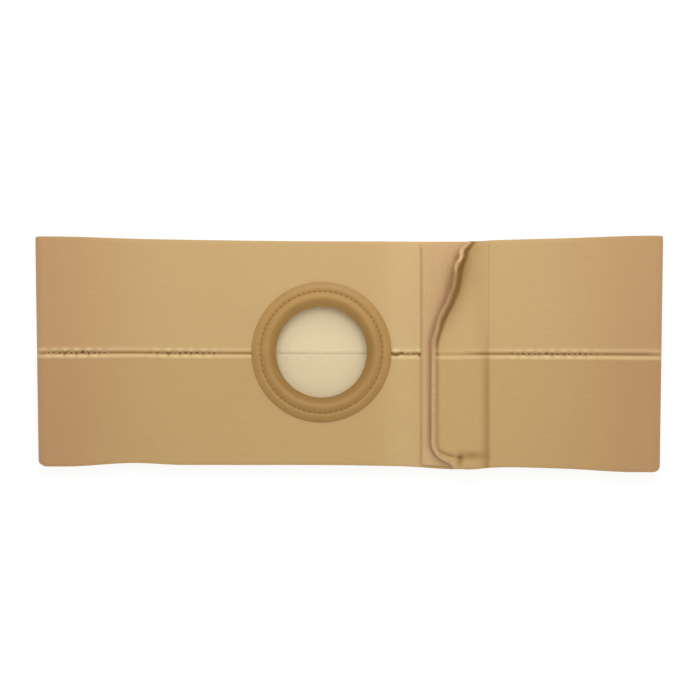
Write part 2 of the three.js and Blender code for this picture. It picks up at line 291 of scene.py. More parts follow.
def soft_step(distance, width):
    """From 0 well before a place to 1 well past it."""
    return 0.5 + 0.5 * np.tanh(distance / width)


def drift_along(run, length, seed):
    """A number from about -1 to 1 that drifts along the run, over about this length."""
    return np.array([noise.noise((at / length, *seed)) for at in run.ravel()]).reshape(run.shape)


def seam_slack(run):
    """How slack the zigzag thread is at each run, from 0 where it has sunk in to 1 where it shows well."""
    x, height, facing = course(run)
    fades = THREAD_FADES
    shows = [soft_step(x - low, fades) - soft_step(x - high, fades) for low, high in THREAD_SHOWS]
    return np.where(facing < 0, THREAD_ON_BACK, np.max(shows, axis=0))


def needle_strays(run):
    """How far along the run the needle came down beside its place."""
    return NEEDLE_STRAYS["shift"] * drift_along(run, NEEDLE_STRAYS["length"], NEEDLE_STRAYS["seed"])


def stitch_size(run):
    """The size of the stitches at each run, as a share of their mean size."""
    return 1 + STITCH_UNEVEN["share"] * drift_along(run, STITCH_UNEVEN["length"], STITCH_UNEVEN["seed"])


def stitch_share(strip, run):
    """From 0 halfway between two needle holes of a strip to 1 at each hole."""
    first = 0 if strip == "upper" else ZIGZAG_PITCH / 2
    return 0.5 + 0.5 * np.cos(2 * math.pi * (run - first - needle_strays(run)) / ZIGZAG_PITCH)


def seam_strength(run):
    """How deep the seam lies at each run: less on the flap, at the folds and where its thread is tight."""
    fold = 1 - FOLD_SEAM["less"] * sum(bell(run - turn, FOLD_SEAM["width"]) for turn in FOLD_RUNS)
    fades = STARTS["right panel"] - np.array([FLAP_SEAM["fades_from"], FLAP_SEAM["fades_to"]])
    flap = np.interp(run, fades, (FLAP_SEAM["strength"], 1))
    return fold * flap * (TIGHT_SEAM + (1 - TIGHT_SEAM) * seam_slack(run))


def seam_is_free(run):
    """From 0 where the ring's flange or the loop tape covers the seam to 1 where nothing does."""
    x, height, facing = course(run)
    to_cover = np.minimum(np.abs(x - RING_X) - RING_COVER, LOOP_TAPE_X - x)
    return np.where(run > STARTS["left panel"], np.clip(to_cover / COVER_FADES, 0, 1), 1)


def seam_rise(strip, run, from_seam, place):
    """How far the seam raises each point of a strip along its outward normal."""
    on_back = place[..., 2] < FOLD_RADIUS
    lip = SEAM_LIP[strip] * np.where(on_back, SEAM_LIP["on_back"], 1) * seam_is_free(run)
    pucker = SEAM_PUCKER["depth"] * stitch_share(strip, run) * seam_slack(run)
    rise = lip * bell(from_seam - SEAM_LIP["from_seam"], SEAM_LIP["width"])
    rise -= SEAM_DIP["depth"] * bell(from_seam, SEAM_DIP["width"])
    rise -= pucker * bell(from_seam - SEAM_PUCKER["from_seam"], SEAM_PUCKER["width"])
    return rise * seam_strength(run)


print("the ring's middle is at", round(RING_X, 1), round(RING_Y, 1), "mm")

# %% [markdown]
# ## Relief of the flap
# The flap is the most worked stretch of the belt. Its end wobbles and leans a little, and the overlocking
# pulls a groove beside it, straight down, because the end stands up there. A stitched line crosses the
# flap where it leaves the closure, and creases and small ridges lie near its corners. The line and the
# creases press the outer face in and leave the underside where it is, so that the flap stays clear of the
# hook tape below. The same functions say later where shade is painted into the cloth's colour: in the
# groove, beside it, along the line and in the creases.

# %% Relief of the flap
FLAP_WOBBLE = {"height": 0.25, "more": 0.12, "length": 7.0, "width": 4.0, "seed": (6.3, 8.1)}
FLAP_LEAN = {
    "y": (14, 29, 39, 47, 57, 65, 72, 76),
    "x": (0, -1.0, -0.2, -0.6, -1.3, -0.4, -2.3, -2.0),
}
LEAN_WIDTH = 6.0
GROOVE = {"depth": 1.05, "deeper": 0.16, "from_end": 3.2, "nearer": 0.15, "width": 1.4, "wider": 0.15}
GROOVE_CORNER = {"from_y": -64.5, "to_y": -68.7, "further": 7.0, "wider": 5.0, "ends_y": -71.5}
# Shade painted into the groove beside the flap's end, and softly on its far flank.
GROOVE_SHADE = {"share": 0.32, "more_above": 0.2, "fades": 3.0, "power": 1.5, "most": 0.85, "less": 0.02}
GROOVE_FLANK = {"painted_shade": 0.03, "width": 1.0, "wider": 0.9}
CLOSURE_LINE = {"x": 92.4, "depth": 0.9, "before": 3.5, "after": 1.1, "painted_shade": 0.5}
CLOSURE_BAND = {"x": 88.0, "share": 0.22, "width": 5.0, "fades": 12.0}
CLOSURE_RIDGE = {"x": 85.6, "height": 0.35, "width": 1.4}
PAST_FLAP = 8.0
# The last number of each crease is how much shade is painted into its dip.
CREASES = [
    {"at": (73.8, -71.0), "along": (0.12, 1.0), "long": 4.2, "wide": 1.9, "depth": 1.6, "painted_shade": 0.62},
    {"at": (82.5, -68.3), "along": (1.0, 0.0), "long": 8.0, "wide": 2.9, "depth": 1.1, "painted_shade": 0.5},
    {"at": (77.6, 56.0), "along": (0.21, 1.0), "long": 12.0, "wide": 3.8, "depth": 0.5, "painted_shade": 0.2},
]
RIDGES = [
    {"at": (67.0, -64.6), "along": (1.0, -0.15), "long": 2.6, "wide": 1.1, "height": 0.5},
    {"at": (80.5, -64.8), "along": (1.0, 0.1), "long": 3.5, "wide": 1.0, "height": 0.5},
    {"at": (78.5, -74.2), "along": (1.0, 0.2), "long": 3.4, "wide": 1.2, "height": 0.5},
]


def from_flap_end(place):
    return place[..., 0] - along(FLAP_END, "y", "x", place[..., 1])


def crease_share(crease, x, y):
    """A crease's or ridge's strength at each point, from 0 far from it to 1 at its middle."""
    direction = np.array(crease["along"]) / np.hypot(*crease["along"])
    dx, dy = x - crease["at"][0], y - crease["at"][1]
    lengthwise = dx * direction[0] + dy * direction[1]
    sideways = dy * direction[0] - dx * direction[1]
    return bell(lengthwise, crease["long"]) * bell(sideways, crease["wide"])


def closure_line(x, y):
    """The stitched line across the flap, from 0 to 1: a sharp line in the lower half, a soft band above."""
    upper = soft_step(y, CLOSURE_BAND["fades"])
    past = x - CLOSURE_LINE["x"]
    line = bell(past, np.where(past < 0, CLOSURE_LINE["before"], CLOSURE_LINE["after"]))
    band = CLOSURE_BAND["share"] * bell(x - CLOSURE_BAND["x"], CLOSURE_BAND["width"])
    return (1 - upper) * line + upper * band


def flap_rise(run, place):
    """How far the flap's wobbling end and its ridges rise along the outward normal."""
    x, y = place[..., 0], place[..., 1]
    wobble = drift_along(y[:, 0], FLAP_WOBBLE["length"], FLAP_WOBBLE["seed"])
    wobble *= FLAP_WOBBLE["height"] + FLAP_WOBBLE["more"] * along(FLAP_END, "y", "lift", y[:, 0])
    rise = wobble[:, None] * bell(from_flap_end(place), FLAP_WOBBLE["width"])
    rise += CLOSURE_RIDGE["height"] * bell(x - CLOSURE_RIDGE["x"], CLOSURE_RIDGE["width"])
    for ridge in RIDGES:
        rise += ridge["height"] * crease_share(ridge, x, y)
    return np.where(run < STARTS["right panel"] + PAST_FLAP, rise, 0)


def flap_lean(run, place):
    """How far the flap's end leans along x."""
    lean = along(FLAP_LEAN, "y", "x", place[..., 1]) * bell(from_flap_end(place), LEAN_WIDTH)
    return np.where(run < STARTS["right panel"], lean, 0)


def pressed_in(run, place):
    """How far the closure's stitching and the creases press the flap's outer face in."""
    x, y = place[..., 0], place[..., 1]
    depth = CLOSURE_LINE["depth"] * closure_line(x, y)
    for crease in CREASES:
        depth += crease["depth"] * crease_share(crease, x, y)
    return np.where(run < STARTS["right panel"] + PAST_FLAP, depth, 0)


def overlock_groove(run, place):
    """How far the overlocking pulls each point straight down, and how much shade is painted into the cloth
    there.
    """
    y = place[..., 1]
    lift = along(FLAP_END, "y", "lift", y)
    corner = GROOVE_CORNER
    round_corner = np.interp(y, (corner["to_y"], corner["from_y"]), (1, 0))
    past = from_flap_end(place) - (GROOVE["from_end"] - GROOVE["nearer"] * lift)
    past -= corner["further"] * round_corner**2
    width = GROOVE["width"] + corner["wider"] * round_corner
    width += np.where(past > 0, GROOVE["wider"] * lift, 0)
    groove = (GROOVE["depth"] + GROOVE["deeper"] * lift) * bell(past, width)
    groove *= np.interp(y, (corner["ends_y"], corner["to_y"]), (0, 1))
    groove = np.where(run < STARTS["right panel"], groove, 0)

    share = GROOVE_SHADE["share"] + GROOVE_SHADE["more_above"] * soft_step(y, GROOVE_SHADE["fades"])
    painted_shade = share * groove ** GROOVE_SHADE["power"]
    painted_shade = np.minimum(painted_shade, GROOVE_SHADE["most"] - GROOVE_SHADE["less"] * lift)
    flank = GROOVE_FLANK["painted_shade"] * (lift - lift.min())
    flank *= bell(past, GROOVE_FLANK["width"] + GROOVE_FLANK["wider"] * lift)
    return groove, painted_shade + np.where((run < STARTS["right panel"]) & (past > 0), flank, 0)


print("creases in the flap:", len(CREASES))

# %% [markdown]
# ## Ripples and thickness
# Away from the closure the panels ripple faintly, as cloth does that has been folded and worn. And the
# webbing isn't equally thick: it is squeezed at the seam and in the overlocking, and thinner in its
# selvage.

# %% Ripples and thickness
STRIP_WIDTH = 76.0
RIPPLE = {"height": 0.35, "length": 60.0, "across": 38.0, "seed": 3.7}
RIPPLE_FADES = {"from_x": 112.0, "in_over": 25.0, "out_over": 15.0}
SEAM_THIN = {"share": 0.1, "width": 1.15}
SELVAGE_THIN = {"share": 0.65, "width": 1.0}
FLAP_THIN = {"share": 0.25, "width": 2.0}
THINNEST = 0.15


def panel_ripples(place):
    """How far the front panels' ripples rise along the outward normal."""
    x, y = place[..., 0], place[..., 1]
    side = np.abs(x)
    fade = np.clip((side - RIPPLE_FADES["from_x"]) / RIPPLE_FADES["in_over"], 0, 1)
    fade *= np.clip((FOLD_X - side) / RIPPLE_FADES["out_over"], 0, 1)
    spots = zip((x / RIPPLE["length"]).ravel(), (y / RIPPLE["across"]).ravel())
    waves = np.array([noise.noise((a, b, RIPPLE["seed"])) for a, b in spots]).reshape(x.shape)
    return np.where(place[..., 2] > FRONT_INSIDE, RIPPLE["height"] * fade * waves, 0)


def thickness_share(run, from_seam):
    """The webbing's thickness there, as a share of its full thickness."""
    seam = 1 - seam_strength(run) * (1 - SEAM_THIN["share"]) * bell(from_seam, SEAM_THIN["width"])
    lip_highlight = 1 - (1 - SELVAGE_THIN["share"]) * bell(STRIP_WIDTH - from_seam, SELVAGE_THIN["width"])
    flap = 1 - (1 - FLAP_THIN["share"]) * bell(run, FLAP_THIN["width"])
    return seam * lip_highlight * flap


middle_share = thickness_share(np.array([WEBBING_LENGTH / 2]), STRIP_WIDTH / 2)[0]
print("in its middle the webbing is", round(WEBBING * middle_share, 2), "mm thick")

# %% [markdown]
# ## Helpers for materials
# Every material starts from the Principled shader. One function turns the hex colour of a swatch into
# Blender's linear light, one starts a material, one adds a node with its settings and links, and one
# feeds the shader from the last nodes. Light and shade are painted into the belt's colours in many places,
# so one more lays a second colour over a colour, as strongly as a number stored on the piece says.


# %% Helpers for materials
def linear(swatch):
    """An sRGB hex colour, such as c8a574, as linear red, green and blue with full alpha."""
    shares = [int(swatch[i : i + 2], 16) / 255 for i in (0, 2, 4)]
    return [s / 12.92 if s <= 0.04045 else ((s + 0.055) / 1.055) ** 2.4 for s in shares] + [1.0]


def start_material(name, **values):
    """A new material and its shader, with values set on the shader's own sockets."""
    material = bpy.data.materials.new(name)
    material.use_nodes = True
    shader = material.node_tree.nodes["Principled BSDF"]
    for socket, value in values.items():
        shader.inputs[socket.replace("_", " ")].default_value = value
    return material, shader


def add_node(material, kind, sockets=None, **settings):
    """Adds a node: settings are its own options, and a socket gets a value or another node's output."""
    node = material.node_tree.nodes.new(kind)
    for option, value in settings.items():
        setattr(node, option, value)
    for socket, given in (sockets or {}).items():
        if isinstance(given, bpy.types.NodeSocket):
            material.node_tree.links.new(given, node.inputs[socket])
        else:
            node.inputs[socket].default_value = given
    return node


def feed_shader(material, shader, **sources):
    """Links the last nodes to the shader's sockets."""
    for socket, source in sources.items():
        material.node_tree.links.new(source, shader.inputs[socket.replace("_", " ")])


def lay_painted_light(material, colour, attribute, swatch):
    """The colour with a second colour painted over it, as strongly as the piece's attribute says."""
    strength = add_node(material, "ShaderNodeAttribute", attribute_name=attribute)
    painted_over = add_node(
        material,
        "ShaderNodeMix",
        {"A": colour, "B": linear(swatch), "Factor": strength.outputs["Fac"]},
        data_type="RGBA",
    )
    return painted_over.outputs["Result"]


print("helpers for materials are ready")

# %% [markdown]
# ## Elastic webbing, the material
# Surgical elastic is a dense narrow weave: rubber threads run lengthwise under covering yarns, which
# gives fine ribs along the belt, crossed by weft yarns. To the eye it is matt and tan, a little warmer in
# some places than in others, with a faint fuzz that catches light at a slant. Its inner face, against the
# skin, is paler. Real ribs are under a millimetre apart, too fine to show here, so they are drawn 1.5 mm
# apart.

# %% Elastic webbing
RIB_PITCH = 1.5
WEFT_PITCH = 1.1
RIB_HEIGHT = 0.22
DYE_PATCH = 85.0
SLUB_LENGTH = 9.0
SLUB_WIDTH = 1.0
WAVE_TURNS = 2 * math.pi / 20
WEFT_SHARE = 0.38
WEAVE_SHADE = 0.16
DYE_DRIFT = {"share": 0.5, "less": 0.25}
# The brown of the shade that is painted into dips, grooves and thread.
PAINTED_SHADE_BROWN = "8f6424"


def webbing_material(name, warm, yellow, pale):
    """Ribbed elastic that is warmer near its folds, with highlight and shade painted in where its numbers
    say.
    """
    material, shader = start_material(name, Sheen_Weight=0.12, Sheen_Roughness=0.5, IOR=1.46)
    flat = add_node(material, "ShaderNodeUVMap", uv_map="flat").outputs["UV"]
    ribs, weft = [
        add_node(
            material,
            "ShaderNodeTexWave",
            {"Scale": WAVE_TURNS / (pitch * MM), "Distortion": wander, "Detail": 1.0, "Vector": flat},
            bands_direction=way,
        )
        for way, pitch, wander in (("Y", RIB_PITCH, 0.6), ("X", WEFT_PITCH, 1.0))
    ]
    weave = add_node(
        material,
        "ShaderNodeMix",
        {"Factor": WEFT_SHARE, "A": ribs.outputs["Fac"], "B": weft.outputs["Fac"]},
        data_type="FLOAT",
    )
    stretched = add_node(
        material,
        "ShaderNodeMapping",
        {"Scale": (1 / (SLUB_LENGTH * MM), 1 / (SLUB_WIDTH * MM), 1), "Vector": flat},
    )
    slubs = add_node(
        material,
        "ShaderNodeTexNoise",
        {"Scale": 1.0, "Detail": 3.0, "Roughness": 0.6, "Vector": stretched.outputs["Vector"]},
    )
    patches = add_node(
        material,
        "ShaderNodeTexNoise",
        {"Scale": 1 / (DYE_PATCH * MM), "Detail": 2.0, "Roughness": 0.45, "Vector": flat},
    )
    near_folds = add_node(material, "ShaderNodeAttribute", attribute_name="near_folds")
    drift = add_node(
        material,
        "ShaderNodeMath",
        {0: patches.outputs["Fac"], 1: DYE_DRIFT["share"], 2: -DYE_DRIFT["less"]},
        operation="MULTIPLY_ADD",
        use_clamp=True,
    )
    warmth = add_node(
        material,
        "ShaderNodeMath",
        {0: drift.outputs["Value"], 1: near_folds.outputs["Fac"]},
        operation="ADD",
        use_clamp=True,
    )
    cloth = add_node(
        material,
        "ShaderNodeMix",
        {"A": linear(yellow), "B": linear(warm), "Factor": warmth.outputs["Value"]},
        data_type="RGBA",
    )
    # A painted highlight on the seam's lips and a paler patch, then painted shade in the dips, the seam and
    # its needle holes.
    dye_and_painted_light = lay_painted_light(material, cloth.outputs["Result"], "lip_highlight", pale)
    dye_and_painted_light = lay_painted_light(material, dye_and_painted_light, "dip_shading", PAINTED_SHADE_BROWN)
    yarn = add_node(
        material,
        "ShaderNodeMath",
        {0: weave.outputs["Result"], 1: WEAVE_SHADE, 2: slubs.outputs["Fac"]},
        operation="MULTIPLY_ADD",
    )
    shade = add_node(
        material,
        "ShaderNodeMapRange",
        {"From Min": 0.3, "From Max": 0.85, "To Min": 0.95, "To Max": 1.04, "Value": yarn.outputs["Value"]},
    )
    colour = add_node(
        material,
        "ShaderNodeVectorMath",
        {"Vector": dye_and_painted_light, "Scale": shade.outputs["Result"]},
        operation="SCALE",
    )
    rough = add_node(
        material,
        "ShaderNodeMapRange",
        {"From Min": 0.3, "From Max": 0.7, "To Min": 0.82, "To Max": 0.96, "Value": slubs.outputs["Fac"]},
    )
    bump = add_node(
        material,
        "ShaderNodeBump",
        {"Strength": 0.4, "Distance": RIB_HEIGHT * MM, "Height": weave.outputs["Result"]},
    )
    feed_shader(
        material,
        shader,
        Base_Color=colour.outputs["Vector"],
        Roughness=rough.outputs["Result"],
        Normal=bump.outputs["Normal"],
    )
    return material


# The lower strip's outside is a little darker and warmer than the upper one's.
elastic_outside = {
    "upper": webbing_material("woven_elastic_tan", "c49a6b", "d0ad77", "ecce98"),
    "lower": webbing_material("woven_elastic_tan_lower_strip", "bf9466", "c9a66e", "e6c68f"),
}
# The upper strip's inner face is painted lighter than the lower one's, a painted light that offsets the
# shade at the top of the ring's opening.
elastic_inside = {
    "upper": webbing_material("woven_elastic_cream_inside", "f0d9b1", "efdbb3", "f0dcb5"),
    "lower": webbing_material("woven_elastic_cream_inside_lower_strip", "ead4ad", "e9d6ae", "ead6b0"),
}
print("made", elastic_outside["upper"].name, "and", elastic_inside["upper"].name)

# %% [markdown]
# ## Helpers for shaping
# A few small functions serve every piece. Operators act on all that is selected, so each step selects
# only its own piece. Modifiers are applied at once, so that a finished piece is a plain mesh, and its
# points can be read and moved together as rows of numbers.


# %% Helpers for shaping
def select_only(piece):
    bpy.ops.object.select_all(action="DESELECT")
    piece.select_set(True)
    bpy.context.view_layer.objects.active = piece


def finish_with(piece, kind, **settings):
    """Adds a modifier with its settings and applies it."""
    select_only(piece)
    modifier = piece.modifiers.new(kind.lower(), kind)
    for option, value in settings.items():
        setattr(modifier, option, value)
    bpy.ops.object.modifier_apply(modifier=modifier.name)


def round_edges(piece, width, sharp_deg=60):
    """A small bevel on the sharp edges only, its width in millimetres."""
    sharp = math.radians(sharp_deg)
    finish_with(piece, "BEVEL", width=width * MM, segments=2, limit_method="ANGLE", angle_limit=sharp)


def points_of(piece):
    """The piece's vertices as rows of x, y and z."""
    flat = np.empty(len(piece.data.vertices) * 3)
    piece.data.vertices.foreach_get("co", flat)
    return flat.reshape(-1, 3)


def move_points(piece, points):
    piece.data.vertices.foreach_set("co", np.asarray(points, float).ravel())
    piece.data.update()


def add_grid(name, columns, rows):
    """A flat grid with that many points each way, and the column and row that each point stands in."""
    bpy.ops.object.select_all(action="DESELECT")
    bpy.ops.mesh.primitive_grid_add(x_subdivisions=columns - 1, y_subdivisions=rows - 1, size=1)
    piece = bpy.context.object
    piece.name = name
    steps = (points_of(piece)[:, :2] + 0.5) * (columns - 1, rows - 1)
    column, row = np.rint(steps).astype(int).T
    return piece, column, row


def smooth(piece, angle_deg=45):
    select_only(piece)
    bpy.ops.object.shade_smooth_by_angle(angle=math.radians(angle_deg))


def give_attribute(piece, name, values):
    """Stores one number at each vertex, for a material to read."""
    piece.data.attributes.new(name, "FLOAT", "POINT").data.foreach_set("value", values)


print("helpers for shaping are ready")

# %% [markdown]
# ## The strips' points
# A strip is planned as a flat grid of points, as webbing comes off the roll. Its columns stand close
# together at the flap's end, where it curls, and its rows at the seam and the selvage, where the relief
# is fine. Each point's column and row give its flat measures, which lay it in space. The relief then
# moves it.

# %% Points of the strips
COLUMN_STEP = 1.1
FLAP_STEP = 0.5
FLAP_FINE = 16.0
COLUMNS = np.concatenate([
    np.arange(0, FLAP_FINE, FLAP_STEP),
    np.linspace(FLAP_FINE, WEBBING_LENGTH, round((WEBBING_LENGTH - FLAP_FINE) / COLUMN_STEP)),
])
ROWS_FROM_SEAM = np.concatenate([
    [0, 0.25, 0.5, 0.75, 1.05, 1.35, 1.7, 2.1, 2.55, 3.1, 3.9, 5.2],
    np.linspace(8, 62, 18),
    np.linspace(63.3, 74.5, 10),
    [75.3, STRIP_WIDTH],
])


def webbing_grid(strip):
    """A strip's points, normals, thickness shares and painted shade, and how far its rows are from the seam.
    """
    shares = ROWS_FROM_SEAM / STRIP_WIDTH
    shares = shares if strip == "upper" else 1 - shares[::-1]
    from_seam = (shares if strip == "upper" else 1 - shares) * STRIP_WIDTH
    run, share = np.meshgrid(COLUMNS, shares)
    place = lay_webbing(strip, run, share)
    normal = np.cross(np.gradient(place, axis=1), np.gradient(place, axis=0))
    normal /= np.linalg.norm(normal, axis=-1, keepdims=True)
    groove, painted_shade = overlock_groove(run, place)
    pressed = pressed_in(run, place)
    thick = thickness_share(run, from_seam[:, None]) - pressed / WEBBING
    rise = seam_rise(strip, run, from_seam[:, None] + 0 * run, place)
    rise += flap_rise(run, place) + panel_ripples(place) - pressed / 2
    lean = flap_lean(run, place)
    place += normal * rise[..., None]
    place[..., 0] += lean
    place[..., 2] -= groove
    return {
        "place": place,
        "normal": normal,
        "thick": np.maximum(thick, THINNEST),
        "painted_shade": painted_shade,
        "from_seam": from_seam,
    }


grids = {strip: webbing_grid(strip) for strip in STRIPS}
print("each strip has", len(ROWS_FROM_SEAM), "rows of", len(COLUMNS), "points")

# %% [markdown]
# ## Warmth and painted light
# The belt isn't one colour. It is warmer near the folds and paler in a patch beside the closure, a
# highlight is painted on the lips of the seam, and shade is painted into every dip. These shares are
# stored at the strip's vertices, and its material reads them.

# %% Warmth and painted light of the webbing
# The cloth is a warmer colour towards both folds.
WARMER_NEAR_FOLDS = {"share": 0.95, "width": 62.0}
# A highlight painted on the seam's lips: more on the lower lip, which faces the light, less on the flap,
# more between needle holes.
PAINTED_LIP_HIGHLIGHT = {"upper": 0.35, "lower": 0.8}
PAINTED_LIP_ON_FLAP = {"upper": 0.4, "lower": 0.9}
HIGHLIGHT_BETWEEN_HOLES = 0.42
# A paler patch beside the closure.
PALE_PATCH = {"share": 0.28, "x": 40.0, "width": 16.0}
# Shade painted along the middle of the seam, less on the back, and at each needle hole where the thread
# shows.
SEAM_SHADE_LINE = {"dark": 0.8, "width": 0.75, "on_back": 0.2}
NEEDLE_HOLE_SHADE = {"share": 0.8, "from_seam": 0.9, "width": 0.8}


def warmth_and_painted_light(piece, strip, row, column):
    """Stores where a strip is warmer, where highlight and shade are painted on it, and a paler patch, from
    its vertices' rows and columns.
    """
    grid = grids[strip]
    run, from_seam = COLUMNS[column], grid["from_seam"][row]
    x, y, z = grid["place"][row, column].T
    on_back = z < FOLD_RADIUS
    from_fold = np.min([np.abs(run - fold) for fold in FOLD_RUNS], axis=0)
    give_attribute(piece, "near_folds", WARMER_NEAR_FOLDS["share"] * bell(from_fold, WARMER_NEAR_FOLDS["width"]))

    slack = np.where(on_back, 0, seam_slack(run) * stitch_size(run))
    needle = slack * stitch_share(strip, run)
    # The painted highlight on the lips is stronger between the needle holes where the thread shows.
    pale = PAINTED_LIP_HIGHLIGHT[strip] * np.where(run < STARTS["right panel"], PAINTED_LIP_ON_FLAP[strip], 1.0)
    lip = bell(from_seam - SEAM_LIP["from_seam"], SEAM_LIP["width"])
    paler_patch = PALE_PATCH["share"] * bell(x - PALE_PATCH["x"], PALE_PATCH["width"])
    paler_patch = np.where(run > STARTS["left panel"], paler_patch, 0)
    give_attribute(piece, "lip_highlight", (pale + HIGHLIGHT_BETWEEN_HOLES * (slack - needle)) * lip + paler_patch)

    # Painted shade in the closure line, the creases, the overlock groove, the needle holes and the seam's
    # middle.
    painted_shade = CLOSURE_LINE["painted_shade"] * closure_line(x, y)
    painted_shade += sum(crease["painted_shade"] * crease_share(crease, x, y) for crease in CREASES)
    painted_shade = grid["painted_shade"][row, column] + np.where(run < STARTS["right panel"] + PAST_FLAP, painted_shade, 0)
    from_hole = from_seam - NEEDLE_HOLE_SHADE["from_seam"]
    painted_shade += NEEDLE_HOLE_SHADE["share"] * needle**2 * bell(from_hole, NEEDLE_HOLE_SHADE["width"])
    dark = np.where(on_back, SEAM_SHADE_LINE["on_back"], SEAM_SHADE_LINE["dark"]) * seam_strength(run)
    give_attribute(piece, "dip_shading", dark * bell(from_seam, SEAM_SHADE_LINE["width"]) + painted_shade)


print("the seam's soil reaches", SEAM_SHADE_LINE["width"], "mm to each side")

# %% [markdown]
# ## The two strips
# Now each strip is cut and folded. Its flat measures become the UV map. The opening for the ring is cut
# by deleting faces and pulling the ragged rim out to a circle. Solidify gives the cloth its thickness,
# thinner where a vertex group says so, and a small bevel rounds its cut edges.

# %% Cutting and folding the strips
OPENING_RADIUS = 35.2
EDGE_ROUND = 0.22
TINY = 1e-6


def cut_faces(piece, inside):
    """Deletes the faces whose corners are all inside."""
    bpy.ops.object.mode_set(mode="EDIT")
    bpy.ops.mesh.select_mode(type="FACE")
    bpy.ops.mesh.select_all(action="DESELECT")
    bpy.ops.object.mode_set(mode="OBJECT")
    for face in piece.data.polygons:
        face.select = all(inside[v] for v in face.vertices)
    bpy.ops.object.mode_set(mode="EDIT")
    bpy.ops.mesh.delete(type="FACE")
    bpy.ops.object.mode_set(mode="OBJECT")


def cut_strip(name, strip):
    grid = grids[strip]
    rows, columns = grid["place"].shape[:2]
    piece, column, row = add_grid(name, columns, rows)
    place = grid["place"][row, column]

    on_flap = COLUMNS[column] < STARTS["right panel"]
    run = np.where(on_flap, place[:, 0] - FLAP_END_X, COLUMNS[column])
    flat = np.stack([run, grid["from_seam"][row]], axis=1) * MM
    uv_map = piece.data.uv_layers.active
    uv_map.name = "flat"
    corner_vertex = np.empty(len(piece.data.loops), int)
    piece.data.loops.foreach_get("vertex_index", corner_vertex)
    uv_map.data.foreach_set("uv", flat[corner_vertex].ravel())

    warmth_and_painted_light(piece, strip, row, column)
    thickness = piece.vertex_groups.new(name="thickness")
    weights = grid["thick"][row, column].round(3)
    for weight in np.unique(weights):
        thickness.add(np.flatnonzero(weights == weight).tolist(), float(weight), "REPLACE")

    from_ring = np.hypot(place[:, 0] - RING_X, place[:, 1] - RING_Y)
    inside = (from_ring < OPENING_RADIUS) & (place[:, 2] > FRONT_INSIDE)
    out = np.where(inside, OPENING_RADIUS / np.maximum(from_ring, TINY), 1)
    place[:, 0] = RING_X + (place[:, 0] - RING_X) * out
    place[:, 1] = RING_Y + (place[:, 1] - RING_Y) * out
    move_points(piece, place * MM)
    cut_faces(piece, inside)

    piece.data.materials.append(elastic_outside[strip])
    piece.data.materials.append(elastic_inside[strip])
    finish_with(
        piece,
        "SOLIDIFY",
        thickness=WEBBING * MM,
        offset=0,
        vertex_group="thickness",
        thickness_vertex_group=0.0,
        material_offset=1,
    )
    round_edges(piece, EDGE_ROUND)
    smooth(piece)
    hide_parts(f"{strip}_band")
    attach(piece, "root")
    print(name, "has", len(piece.data.polygons), "faces")


for strip in STRIPS:
    cut_strip(f"{strip}_webbing", strip)

# %% [markdown]
# ## Thread
# Every seam on the belt is polyester thread, round and slightly glossy. A stitch shows as a short length
# of thread that dives into the cloth at both ends. Curves are the quickest way to lay thread: each stitch
# is one short spline through a few points, a bevel gives the thread its thickness, and the finished curve
# is turned into a mesh. To find points on the cloth, the grids that laid the strips are read again.

# %% Thread
FIBRE_CLUMP = 0.8
FIBRE_HEIGHT = 0.1


def thread_material(name, swatch, dark):
    """Twisted polyester, lighter where its fibres stand up and darker between them, a painted shade, with
    more shade painted where the piece says.
    """
    material, shader = start_material(name, Roughness=0.6, IOR=1.5, Sheen_Weight=0.1)
    place = add_node(material, "ShaderNodeTexCoord").outputs["Object"]
    fibres = add_node(
        material, "ShaderNodeTexNoise", {"Scale": 1 / (FIBRE_CLUMP * MM), "Detail": 2.0, "Vector": place}
    )
    colour = add_node(
        material,
        "ShaderNodeMix",
        {"A": linear(dark), "B": linear(swatch), "Factor": fibres.outputs["Fac"]},
        data_type="RGBA",
    )
    bump = add_node(
        material,
        "ShaderNodeBump",
        {"Strength": 0.4, "Distance": FIBRE_HEIGHT * MM, "Height": fibres.outputs["Fac"]},
    )
    colour = lay_painted_light(material, colour.outputs["Result"], "shading_share", PAINTED_SHADE_BROWN)
    feed_shader(material, shader, Base_Color=colour, Normal=bump.outputs["Normal"])
    return material


def lay_thread(name, paths, thickness, material):
    """One mesh of thread along many short paths, given in millimetres."""
    curve = bpy.data.curves.new(name, "CURVE")
    curve.dimensions = "3D"
    curve.bevel_depth = thickness / 2 * MM
    curve.bevel_resolution = 1
    curve.use_fill_caps = True
    for path in paths:
        spline = curve.splines.new("POLY")
        spline.points.add(len(path) - 1)
        spots = np.hstack([np.asarray(path) * MM, np.ones((len(path), 1))])
        spline.points.foreach_set("co", spots.ravel())
    piece = bpy.data.objects.new(name, curve)
    bpy.context.scene.collection.objects.link(piece)
    select_only(piece)
    bpy.ops.object.convert(target="MESH")
    piece = bpy.context.object
    piece.data.materials.clear()
    piece.data.materials.append(material)
    smooth(piece, angle_deg=60)
    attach(piece, "root")
    print(name, "has", len(paths), "stitches and", len(piece.data.polygons), "faces")
    return piece


